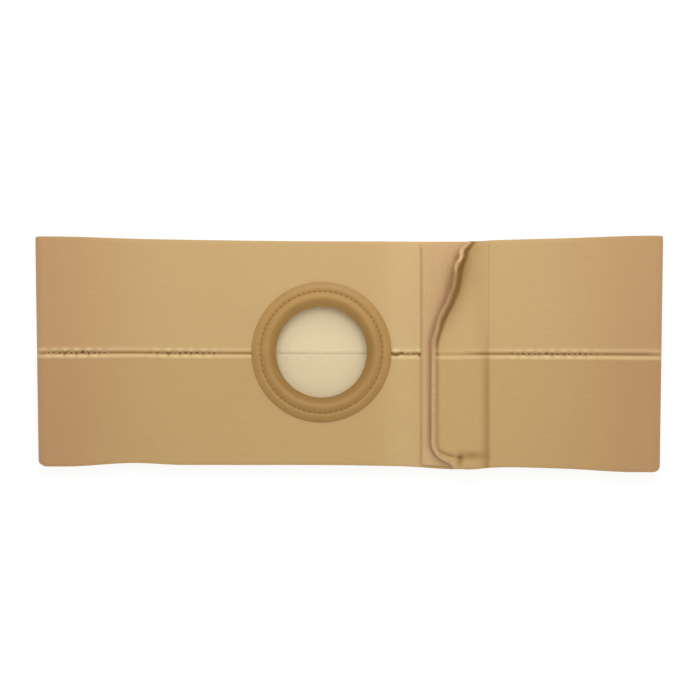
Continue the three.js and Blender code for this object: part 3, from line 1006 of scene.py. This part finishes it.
def on_cloth(strip, run, from_seam, above):
    """A point above a strip's outer face, and the outward normal there."""
    grid = grids[strip]
    rows = grid["from_seam"] if strip == "upper" else grid["from_seam"][::-1]
    row = np.interp(from_seam, rows, np.arange(len(rows)))
    row = row if strip == "upper" else len(rows) - 1 - row
    column = np.interp(run, COLUMNS, np.arange(len(COLUMNS)))
    i, j = min(int(row), len(rows) - 2), min(int(column), len(COLUMNS) - 2)
    a, b = row - i, column - j
    weights = np.array([[(1 - a) * (1 - b), (1 - a) * b], [a * (1 - b), a * b]])
    near = (slice(i, i + 2), slice(j, j + 2))
    spot = (grid["place"][near] * weights[..., None]).sum((0, 1))
    normal = (grid["normal"][near] * weights[..., None]).sum((0, 1))
    normal /= np.linalg.norm(normal)
    half = WEBBING / 2 * (grid["thick"][near] * weights).sum()
    return spot + normal * (half + above), normal


seam_polyester = thread_material("polyester_seam_thread", "ddbb8a", "c59e6c")
print("made", seam_polyester.name)

# %% [markdown]
# ## The zigzag seam
# The two strips lie edge to edge, and a zigzag stitch ties them: the needle goes down in one strip and
# then in the other, 7.6 mm along for each full zigzag. Where the thread has sunk in, nothing of it shows
# and no leg is laid. It is left out as well where the ring's flange and the loop tape cover the seam, and
# on the flap, where the closure is sewn flat.

# %% Zigzag seam
NEEDLE_FROM_SEAM = {"sunk": 0.9, "slack": 1.9}
SEAM_THREAD = 0.62
FLAP_PLAIN_RUN = 32.0
THREAD_SINK = 0.4
THREAD_SAG = {"sunk": 0.9, "slack": 0.7}
SUNK_IN = 0.2
ZIGZAG_LEG = {
    "along": (0, 0.06, 0.28, 0.5, 0.72, 0.94, 1),
    "above": (-0.45, 0.12, 0, 0, 0, 0.12, -0.45),
    "sag": (0, 0, 0.4, 1, 0.4, 0, 0),
}


def zigzag_leg(first, second, run):
    """The path of one leg, between a needle hole at run and one in the other strip half a pitch on."""
    ends = []
    for strip, nominal in ((first, run), (second, run + ZIGZAG_PITCH / 2)):
        at = np.array([nominal])
        size = stitch_size(at)[0]
        at = at + needle_strays(at)
        slack = seam_slack(at)[0]
        needle = np.interp(slack, (0, 1), (NEEDLE_FROM_SEAM["sunk"], NEEDLE_FROM_SEAM["slack"] * size))
        ends.append(on_cloth(strip, at[0], needle, -THREAD_SINK * (1 - slack)))
    (a, normal_a), (b, normal_b) = ends
    normal = (normal_a + normal_b) / 2
    sag = np.interp(slack, (0, 1), (THREAD_SAG["sunk"], THREAD_SAG["slack"] * size))
    above = np.array(ZIGZAG_LEG["above"]) - sag * np.array(ZIGZAG_LEG["sag"])
    return a + np.outer(ZIGZAG_LEG["along"], b - a) + np.outer(above, normal)


zigzag = []
for k in range(math.ceil(FLAP_PLAIN_RUN / ZIGZAG_PITCH), int(WEBBING_LENGTH / ZIGZAG_PITCH) - 1):
    run = k * ZIGZAG_PITCH
    at = np.array([run])
    if seam_slack(at)[0] > SUNK_IN and seam_is_free(at)[0] == 1:
        zigzag.append(zigzag_leg("upper", "lower", run))
        zigzag.append(zigzag_leg("lower", "upper", run + ZIGZAG_PITCH / 2))
lay_thread("seam_thread", zigzag, SEAM_THREAD, seam_polyester)

# %% [markdown]
# ## Vinyl
# The ring is soft vinyl, cast in a satin mould. To the eye it is a warm brown with a low, broad shine.
# Its colour is faintly cloudy, its skin has a fine grain, and shade is painted on its lower side, most near
# the bore.

# %% Vinyl
CLOUD_SIZE = 14.0
GRAIN_SIZE = 0.9
GRAIN_HEIGHT = 0.1


def vinyl_material(name, swatch, dark, painted_shade):
    """Soft vinyl from a satin mould: a faint cloudiness, a fine grain, and shade painted where the piece
    says.
    """
    material, shader = start_material(name, IOR=1.53, Coat_Weight=0.05, Coat_Roughness=0.4)
    place = add_node(material, "ShaderNodeTexCoord").outputs["Object"]
    cloud, grain = [
        add_node(
            material, "ShaderNodeTexNoise", {"Scale": 1 / (size * MM), "Detail": detail, "Vector": place}
        )
        for size, detail in ((CLOUD_SIZE, 3.0), (GRAIN_SIZE, 2.0))
    ]
    colour = add_node(
        material,
        "ShaderNodeMix",
        {"A": linear(dark), "B": linear(swatch), "Factor": cloud.outputs["Fac"]},
        data_type="RGBA",
    )
    rough = add_node(
        material,
        "ShaderNodeMapRange",
        {"From Min": 0.3, "From Max": 0.7, "To Min": 0.42, "To Max": 0.58, "Value": cloud.outputs["Fac"]},
    )
    bump = add_node(
        material,
        "ShaderNodeBump",
        {"Strength": 0.25, "Distance": GRAIN_HEIGHT * MM, "Height": grain.outputs["Fac"]},
    )
    feed_shader(
        material,
        shader,
        Base_Color=lay_painted_light(material, colour.outputs["Result"], "shading_share", painted_shade),
        Roughness=rough.outputs["Result"],
        Normal=bump.outputs["Normal"],
    )
    return material


# The last colour is the shade painted on the ring's lower side.
brown_vinyl = vinyl_material("moulded_vinyl_brown", "bd924f", "aa803c", "5f4216")
print("made", brown_vinyl.name)

# %% [markdown]
# ## The ring
# The moulded ring lines the opening. Its flange has two raised beads with a stitched groove between them,
# and a collar goes down through the cloth. Anything round is made best by turning a section: one vertex
# is extruded from point to point along the section, the section is spun round the ring's axis, and a
# subdivision surface rounds the beads.

# %% Ring
RING_BORE = 30.0
COLLAR_OUTER = 33.0
COLLAR_END = -2.4
RING_STEPS = 72
DOUBLES_WITHIN = 0.01
BORE_SHADE = {"share": 0.35, "width": 4.5}
FLANGE_LOWER_SHADE = 0.08
# Radius and height of each point, from the collar's end up its outside and round the flange to the bore
RING_SECTION = [
    (RING_BORE, COLLAR_END), (COLLAR_OUTER, COLLAR_END), (COLLAR_OUTER, -1.2), (34.6, CLEAR),
    (40.0, CLEAR), (46.2, CLEAR), (46.7, 0.4), (46.5, 0.8), (45.4, 1.5), (44.0, 2.15), (42.8, 2.5),
    (41.8, 2.4), (41.0, 2.15), (40.1, 2.35), (39.2, 3.05), (38.0, 3.75), (36.7, 4.0), (35.5, 3.75),
    (34.4, 3.0), (33.3, 1.9), (32.3, 0.7), (31.3, -0.8), (30.5, -2.0),
]


def spin_section(name, section, centre, steps):
    """Turns a closed section, given by radius and height, round a vertical axis through the centre."""
    bpy.ops.object.select_all(action="DESELECT")
    bpy.ops.mesh.primitive_plane_add(size=MM, location=(0, 0, 0))
    piece = bpy.context.object
    piece.name = name
    bpy.ops.object.mode_set(mode="EDIT")
    bpy.ops.mesh.select_mode(type="VERT")
    bpy.ops.mesh.merge(type="CENTER")
    corners = [centre + Vector((radius, 0, height)) * MM for radius, height in section]
    bpy.ops.transform.translate(value=corners[0])
    for before, after in zip(corners, corners[1:]):
        bpy.ops.mesh.extrude_region_move(TRANSFORM_OT_translate={"value": after - before})
    bpy.ops.object.mode_set(mode="OBJECT")
    for vertex in piece.data.vertices:
        vertex.select = min((vertex.co - end).length for end in (corners[0], corners[-1])) < TINY
    bpy.ops.object.mode_set(mode="EDIT")
    bpy.ops.mesh.edge_face_add()
    bpy.ops.mesh.select_all(action="SELECT")
    bpy.ops.mesh.spin(steps=steps, angle=2 * math.pi, center=centre, axis=(0, 0, 1))
    bpy.ops.mesh.select_all(action="SELECT")
    bpy.ops.mesh.remove_doubles(threshold=DOUBLES_WITHIN * MM)
    bpy.ops.mesh.normals_make_consistent(inside=False)
    bpy.ops.object.mode_set(mode="OBJECT")
    return piece


ring_centre = Vector((RING_X, RING_Y, FRONT_OUTSIDE)) * MM
ring_moulding = spin_section("ring_moulding", RING_SECTION, ring_centre, RING_STEPS)
finish_with(ring_moulding, "SUBSURF", levels=2, render_levels=2)
across, up = (points_of(ring_moulding)[:, :2] / MM - (RING_X, RING_Y)).T
from_axis = np.hypot(across, up)
# Shade is painted on the ring's lower side, which faces away from the light, most of all near the bore.
lower_side = np.clip(1 - up / from_axis, 0, 1)
shading_share = BORE_SHADE["share"] * lower_side * bell(from_axis - RING_BORE, BORE_SHADE["width"])
give_attribute(ring_moulding, "shading_share", shading_share + FLANGE_LOWER_SHADE * np.clip(-up / from_axis, 0, 1))
ring_moulding.data.materials.append(brown_vinyl)
smooth(ring_moulding)
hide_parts("stoma_ring")
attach(ring_moulding, "root")
print("ring has", len(ring_moulding.data.polygons), "faces")

# %% [markdown]
# ## The ring's stitches
# The ring is held by one round of lock stitches in its groove. Each is a short arc of thread, and its
# ends dive into the vinyl.

# %% Ring stitches
RING_STITCH_RADIUS = 40.6
RING_STITCH_PITCH = 3.6
RING_STITCH_SHARE = 0.74
RING_THREAD = 0.75
RING_GROOVE_HEIGHT = 2.3
STITCH = {"along": np.array((-1, -0.7, 0, 0.7, 1)), "above": np.array((-0.35, 0.1, 0.17, 0.1, -0.35))}

stitch_count = round(2 * math.pi * RING_STITCH_RADIUS / RING_STITCH_PITCH)
ring_paths = []
for k in range(stitch_count):
    turn = math.pi / stitch_count * (2 * k + RING_STITCH_SHARE * STITCH["along"])
    ring_paths.append(np.stack([
        RING_X + RING_STITCH_RADIUS * np.cos(turn),
        RING_Y + RING_STITCH_RADIUS * np.sin(turn),
        FRONT_OUTSIDE + RING_GROOVE_HEIGHT + STITCH["above"],
    ], axis=1))
ring_polyester = thread_material("polyester_ring_thread", "b58348", "8a5f2e")
lay_thread("ring_stitches", ring_paths, RING_THREAD, ring_polyester)

# %% [markdown]
# ## Loop pile, the material
# The soft half of a hook-and-loop closure is a mat of tiny nylon loops, brushed flat by use. To the eye
# it is matt and softly lumpy, with faint streaks along the way it was brushed, and shade is painted
# into the hollows between the tufts. Beside the flap's end, the flap's shadow is painted on it.

# %% Loop pile
TUFT_SIZE = 1.2
FUZZ_SIZE = 0.6
TUFT_HEIGHT = 0.35
BRUSHED = {"across": 3.0, "along": 34.0}
STREAK_SHARE = 2.2


def pile_material(name, swatch, dark, shadow_of_flap):
    """Brushed nylon loops: matt, with shade painted into the hollows between tufts and the flap's shadow
    painted beside it.
    """
    material, shader = start_material(name, Roughness=1.0, IOR=1.46, Sheen_Weight=0.25, Sheen_Roughness=0.6)
    place = add_node(material, "ShaderNodeTexCoord").outputs["Object"]
    tufts = add_node(
        material,
        "ShaderNodeTexVoronoi",
        {"Scale": 1 / (TUFT_SIZE * MM), "Smoothness": 0.6, "Vector": place},
        feature="SMOOTH_F1",
    )
    fuzz = add_node(
        material, "ShaderNodeTexNoise", {"Scale": 1 / (FUZZ_SIZE * MM), "Detail": 3.0, "Vector": place}
    )
    height = add_node(
        material,
        "ShaderNodeMath",
        {0: fuzz.outputs["Fac"], 1: tufts.outputs["Distance"]},
        operation="SUBTRACT",
    )
    combed = add_node(
        material,
        "ShaderNodeMapping",
        {"Scale": (1 / (BRUSHED["across"] * MM), 1 / (BRUSHED["along"] * MM), 0), "Vector": place},
    )
    streaks = add_node(
        material, "ShaderNodeTexNoise", {"Scale": 1.0, "Detail": 2.0, "Vector": combed.outputs["Vector"]}
    )
    tone = add_node(
        material,
        "ShaderNodeMath",
        {0: streaks.outputs["Fac"], 1: STREAK_SHARE, 2: height.outputs["Value"]},
        operation="MULTIPLY_ADD",
        use_clamp=True,
    )
    tone = add_node(
        material, "ShaderNodeMapRange", {"From Min": 0.5, "From Max": 1.5, "Value": tone.outputs["Value"]}
    )
    colour = add_node(
        material,
        "ShaderNodeMix",
        {"A": linear(dark), "B": linear(swatch), "Factor": tone.outputs["Result"]},
        data_type="RGBA",
    )
    bump = add_node(
        material,
        "ShaderNodeBump",
        {"Strength": 0.6, "Distance": TUFT_HEIGHT * MM, "Height": height.outputs["Value"]},
    )
    colour = lay_painted_light(material, colour.outputs["Result"], "shadow_of_flap", shadow_of_flap)
    feed_shader(material, shader, Base_Color=colour, Normal=bump.outputs["Normal"])
    return material


# The last colour is the flap's shadow, painted on the pile.
brushed_pile = pile_material("brushed_loop_pile", "dbb684", "cfa979", "944f12")
print("made", brushed_pile.name)

# %% [markdown]
# ## The loop tape
# The under end of the belt carries a wide patch of loop tape, of which only a narrow strip shows beside
# the flap. The patch is a grid that is trimmed to the belt's edges, thickened and rounded. Then its upper
# face is roughened point by point with noise, and pressed down along the edge where it is sewn.

# %% Loop tape
LOOP_TAPE_MARGIN = 1.8
LOOP_TAPE_STEP = 0.8
TAPE_ROUND = 0.3
TOP_WITHIN = 0.1
PILE = {"height": 0.16, "scale": 1.3, "share": 0.5, "lower": 0.2}
TAPE_PRESSED = {"depth": 0.4, "width": 1.4}
PAINTED_FLAP_SHADOW = {"share": 0.34, "more": 0.008, "from_end": 1.8, "width": 1.4, "wider": 0.16}
PAINTED_FLAP_SHADOW_FROM = {"y": -70.0, "over": 4.0}

tape_low, tape_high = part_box("loop_patch")
tape_columns = round((tape_high.x - tape_low.x) / MM / LOOP_TAPE_STEP)
tape_rows = round((tape_high.y - tape_low.y) / MM / LOOP_TAPE_STEP)
loop_tape, column, row = add_grid("loop_tape", tape_columns + 1, tape_rows + 1)
x = (tape_low.x + (tape_high.x - tape_low.x) * column / tape_columns) / MM
bottom = along(EDGES, "x", "bottom", x) + LOOP_TAPE_MARGIN
top = along(EDGES, "x", "top", x) - LOOP_TAPE_MARGIN
y = bottom + (top - bottom) * row / tape_rows
tape_top = LOOP_TAPE_LEVEL + PATCH
move_points(loop_tape, np.stack([x, y, np.full(len(x), tape_top)], axis=1) * MM)
finish_with(loop_tape, "SOLIDIFY", thickness=PATCH * MM, offset=-1)
round_edges(loop_tape, TAPE_ROUND)

places = points_of(loop_tape)
lumps = np.array([noise.noise(Vector(place) / (PILE["scale"] * MM)) for place in places])
pressed = TAPE_PRESSED["depth"] * bell((places[:, 0] - tape_low.x) / MM, TAPE_PRESSED["width"])
rise = (lumps * PILE["share"] - PILE["lower"]) * PILE["height"] - pressed
places[:, 2] += np.where(places[:, 2] > (tape_top - TOP_WITHIN) * MM, rise, 0) * MM
move_points(loop_tape, places)
smooth(loop_tape)

# The flap's end shades the tape beside it: that shadow is painted into the pile, wider where the end stands
# higher, fading out near the lower edge.
beside_flap = from_flap_end(places / MM) + PAINTED_FLAP_SHADOW["from_end"]
lift = along(FLAP_END, "y", "lift", places[:, 1] / MM)
shadow_of_flap = PAINTED_FLAP_SHADOW["share"] + PAINTED_FLAP_SHADOW["more"] * lift
shadow_of_flap *= bell(beside_flap, PAINTED_FLAP_SHADOW["width"] + PAINTED_FLAP_SHADOW["wider"] * lift)
shadow_of_flap *= soft_step(places[:, 1] / MM - PAINTED_FLAP_SHADOW_FROM["y"], PAINTED_FLAP_SHADOW_FROM["over"])
give_attribute(loop_tape, "shadow_of_flap", shadow_of_flap)
loop_tape.data.materials.append(brushed_pile)
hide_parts("loop_patch")
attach(loop_tape, "root")
print("loop tape has", len(loop_tape.data.polygons), "faces")

# %% [markdown]
# ## The hook tape
# The other half of the closure is sewn inside the flap, where it hardly shows. Its solid already has the
# right shape, so it stays and only gets its material: woven nylon with rows of tiny moulded hooks, and
# shade painted between the hooks.

# %% Hook tape
HOOK_PITCH = 1.5
HOOK_HEIGHT = 0.5

hook_nylon, hook_shader = start_material("nylon_hook_tape", IOR=1.53)
hook_place = add_node(hook_nylon, "ShaderNodeTexCoord").outputs["Object"]
hooks = add_node(
    hook_nylon,
    "ShaderNodeTexVoronoi",
    {"Scale": 1 / (HOOK_PITCH * MM), "Randomness": 0.25, "Vector": hook_place},
)
hook_tone = add_node(
    hook_nylon,
    "ShaderNodeMix",
    {"A": linear("d6b98d"), "B": linear("a98557"), "Factor": hooks.outputs["Distance"]},
    data_type="RGBA",
)
hook_rough = add_node(
    hook_nylon, "ShaderNodeMapRange", {"To Min": 0.45, "To Max": 0.75, "Value": hooks.outputs["Distance"]}
)
hook_bump = add_node(
    hook_nylon,
    "ShaderNodeBump",
    {"Strength": 0.8, "Distance": HOOK_HEIGHT * MM, "Height": hooks.outputs["Distance"]},
    invert=True,
)
feed_shader(
    hook_nylon,
    hook_shader,
    Base_Color=hook_tone.outputs["Result"],
    Roughness=hook_rough.outputs["Result"],
    Normal=hook_bump.outputs["Normal"],
)
hook_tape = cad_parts["hook_patch"]
hook_tape.data.materials.clear()
hook_tape.data.materials.append(hook_nylon)
print("hook tape is finished in", hook_nylon.name)

# %% [markdown]
# ## The line of the flap's end
# The flap's cut end is overlocked: loops of thread wrap the raw edge so closely that they make a rounded
# ridge. To lay it, the end is walked in even steps. Each step has a point on the cut end, the way out
# past it, the cloth's normal, and a heel, which is the place on the cloth where the thread comes down
# again. At both ends of the walk the ridge closes in on the cloth.

# %% Line of the flap's end
BINDING_WIDTH = 1.6
WRAP_PITCH = 1.2
HEEL_COLUMNS = 20
EDGE_KINK = {"size": 0.2, "more": 0.1, "length": 6.0, "seed": (1.4, 6.0)}
CLOSES = {"over": 1.8, "to": 0.45}


def lengths_along(points):
    """Each point's distance from the first one, along the line through them."""
    return np.concatenate([[0], np.cumsum(np.linalg.norm(np.diff(points, axis=0), axis=1))])


def at_lengths(lengths, places, columns):
    """Rows of x, y and z at the lengths, between columns that stand at known places."""
    return np.stack([np.interp(lengths, places, columns[:, k]) for k in range(3)], axis=-1)


def flap_edge():
    """Points, normals, outward directions, heels and closing shares along the flap's end, evenly spaced."""
    both = (grids["lower"], grids["upper"])
    cloth = np.concatenate([grid["place"][:, :HEEL_COLUMNS] for grid in both])
    normals = np.concatenate([grid["normal"][:, 1] for grid in both])
    heels = np.array([at_lengths(BINDING_WIDTH, lengths_along(row), row) for row in cloth])
    length = lengths_along(cloth[:, 0])
    steps = np.linspace(0, length[-1], round(length[-1] / (WRAP_PITCH / 2)))
    point, normal, heel = [at_lengths(steps, length, rows) for rows in (cloth[:, 0], normals, heels)]
    forward = np.gradient(point, axis=0)
    outward = np.cross(normal, forward)
    outward /= np.linalg.norm(outward, axis=1, keepdims=True)
    normal = np.cross(forward, outward)
    normal /= np.linalg.norm(normal, axis=1, keepdims=True)
    kinks = drift_along(steps, EDGE_KINK["length"], EDGE_KINK["seed"])
    kinks *= EDGE_KINK["size"] + EDGE_KINK["more"] * along(FLAP_END, "y", "lift", point[:, 1])
    closing = np.clip(np.sqrt(np.minimum(steps, steps[::-1]) / CLOSES["over"]), CLOSES["to"], 1)
    return point + normal * kinks[:, None], normal, outward, heel, closing[:, None]


edge_point, edge_normal, edge_outward, edge_heel, edge_closing = flap_edge()
print("the flap's end is walked in", len(edge_point), "steps")

# %% [markdown]
# ## The overlocked edge
# A narrow tape folded over the cut end is the body of the ridge. It is a grid again, with the steps one
# way and the section of the fold the other way. The wrapping threads lie on it side by side, each a
# little slanted and not quite as tight as the next. Shade is painted on the ridge, most where the end
# stands up, and none near its top corner.

# %% Overlocked edge
BINDING_REACH = 0.45
BINDING_RISE = 0.6
BINDING_SKIN = 0.4
NOSE_STEPS = 8
HEEL_LOWER = 0.6
WRAP_THREAD = 0.42
WRAP_CLEAR = 0.3
WRAP_SLANT = 0.8
WRAP_UNEVEN = {"share": 0.3, "step": 0.37, "seed": (4.2, 1.1)}
# Painted shade on the overlocked ridge: a little everywhere, most where its end stands up, none near its top
# corner where it catches the light.
EDGE_SHADE = {"even": 0.2, "share": 0.4, "y": 45.0, "width": 26.0}
EDGE_UNSHADED = {"y": 65.0, "width": 7.0}


def wrap_section(extra):
    """How far out and up a thread that wraps the edge lies, from the lower heel round to the upper one."""
    rise = WEBBING / 2 * FLAP_THIN["share"] + BINDING_RISE + extra
    turns = np.linspace(-math.pi / 2, math.pi / 2, NOSE_STEPS)
    nose = [((BINDING_REACH + extra) * math.cos(turn), rise * math.sin(turn)) for turn in turns]
    heel = rise - extra * HEEL_LOWER
    return np.array([(-BINDING_WIDTH, -heel), *nose, (-BINDING_WIDTH, heel)])


def round_edge(step, out, up):
    """Places round the flap's end: out past it and up from it, or above a heel where out is negative."""
    out, up = out[:, None] * edge_closing[step], up[:, None] * edge_closing[step]
    past = edge_point[step] + edge_outward[step] * out
    return np.where(out < 0, edge_heel[step], past) + edge_normal[step] * up


section = wrap_section(0)
overlock_edge, step, turn = add_grid("overlock_edge", len(edge_point), len(section))
move_points(overlock_edge, round_edge(step, *section[turn].T) * MM)
finish_with(overlock_edge, "SOLIDIFY", thickness=BINDING_SKIN * MM, offset=0)
smooth(overlock_edge)
overlock_edge.data.materials.append(thread_material("polyester_overlock_core", "e4c08e", "d2ac78"))
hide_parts("flap_binding")
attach(overlock_edge, "root")

outer = wrap_section(BINDING_SKIN / 2 + WRAP_THREAD * WRAP_CLEAR)
wraps = []
for k in range(1, len(edge_point) - 2, 2):
    forward = (edge_point[k + 1] - edge_point[k - 1]) / 2
    looser = noise.noise((k * WRAP_UNEVEN["step"], *WRAP_UNEVEN["seed"]))
    out, up = (outer * (1 + WRAP_UNEVEN["share"] * looser)).T
    slant = forward * WRAP_SLANT * outer[:, 1:] / WEBBING
    wraps.append(round_edge(np.full(len(outer), k), out, up) + slant)
wrap_polyester = thread_material("polyester_overlock_thread", "f0d09e", "dfb782")
overlock_wraps = lay_thread("overlock_wraps", wraps, WRAP_THREAD, wrap_polyester)
for piece in (overlock_edge, overlock_wraps):
    y = points_of(piece)[:, 1] / MM
    shading_share = EDGE_SHADE["even"] + EDGE_SHADE["share"] * bell(y - EDGE_SHADE["y"], EDGE_SHADE["width"])
    give_attribute(piece, "shading_share", shading_share * (1 - bell(y - EDGE_UNSHADED["y"], EDGE_UNSHADED["width"])))

# %% [markdown]
# ## Straight stitching
# Two rows of plain lock stitch hold the closure: one across the flap, where it leaves the tapes, and one
# along the loop tape's edge. Each stitch has the shape of the ring's stitches, at a smaller size.

# %% Straight stitching
STITCH_PITCH = 2.4
STITCH_SHARE = 0.78
STITCH_THREAD = 0.36
STITCHED_FROM = 3.0
STITCHED_SHORT_OF = 2.0
TAPE_STITCH_INSET = 0.8

tan_polyester = thread_material("polyester_tan_thread", "c8a370", "b6915f")
stitch_along = STITCH["along"] * STITCH_PITCH * STITCH_SHARE / 2
closure_run = CLOSURE_LINE["x"] - FLAP_END_X
closure_paths = []
for strip in STRIPS:
    for middle in np.arange(STITCHED_FROM, STRIP_WIDTH - STITCHED_SHORT_OF, STITCH_PITCH):
        spots = zip(middle + stitch_along, STITCH["above"])
        closure_paths.append([on_cloth(strip, closure_run, at, above)[0] for at, above in spots])
lay_thread("closure_stitches", closure_paths, STITCH_THREAD, tan_polyester)

stitch_x = np.full(len(stitch_along), tape_low.x / MM + TAPE_STITCH_INSET)
stitch_z = tape_top + STITCH["above"]
tape_paths = []
for middle in np.arange(tape_low.y / MM + STITCHED_FROM, tape_high.y / MM - STITCHED_SHORT_OF, STITCH_PITCH):
    tape_paths.append(np.stack([stitch_x, middle + stitch_along, stitch_z], axis=1))
lay_thread("loop_tape_stitches", tape_paths, STITCH_THREAD, tan_polyester)

# %% [markdown]
# ## The floor
# The belt lies on a plain white table, which isn't part of it. The table glows a little itself, which
# keeps it an even white right up to the belt's edge.

# %% Floor
FLOOR_SIZE = 8000.0
FLOOR_DROP = 0.3
FLOOR_GLOW = 0.86

bpy.ops.object.select_all(action="DESELECT")
bpy.ops.mesh.primitive_plane_add(size=FLOOR_SIZE * MM, location=(0, 0, -FLOOR_DROP * MM))
floor = bpy.context.object
floor.name = "floor"
white_laminate, laminate_shader = start_material("white_laminate_table", Roughness=0.9)
laminate_shader.inputs["Base Color"].default_value = linear("747474")
laminate_shader.inputs["Emission Color"].default_value = linear("ffffff")
laminate_shader.inputs["Emission Strength"].default_value = FLOOR_GLOW
floor.data.materials.append(white_laminate)
print("the floor is", FLOOR_SIZE, "mm wide")
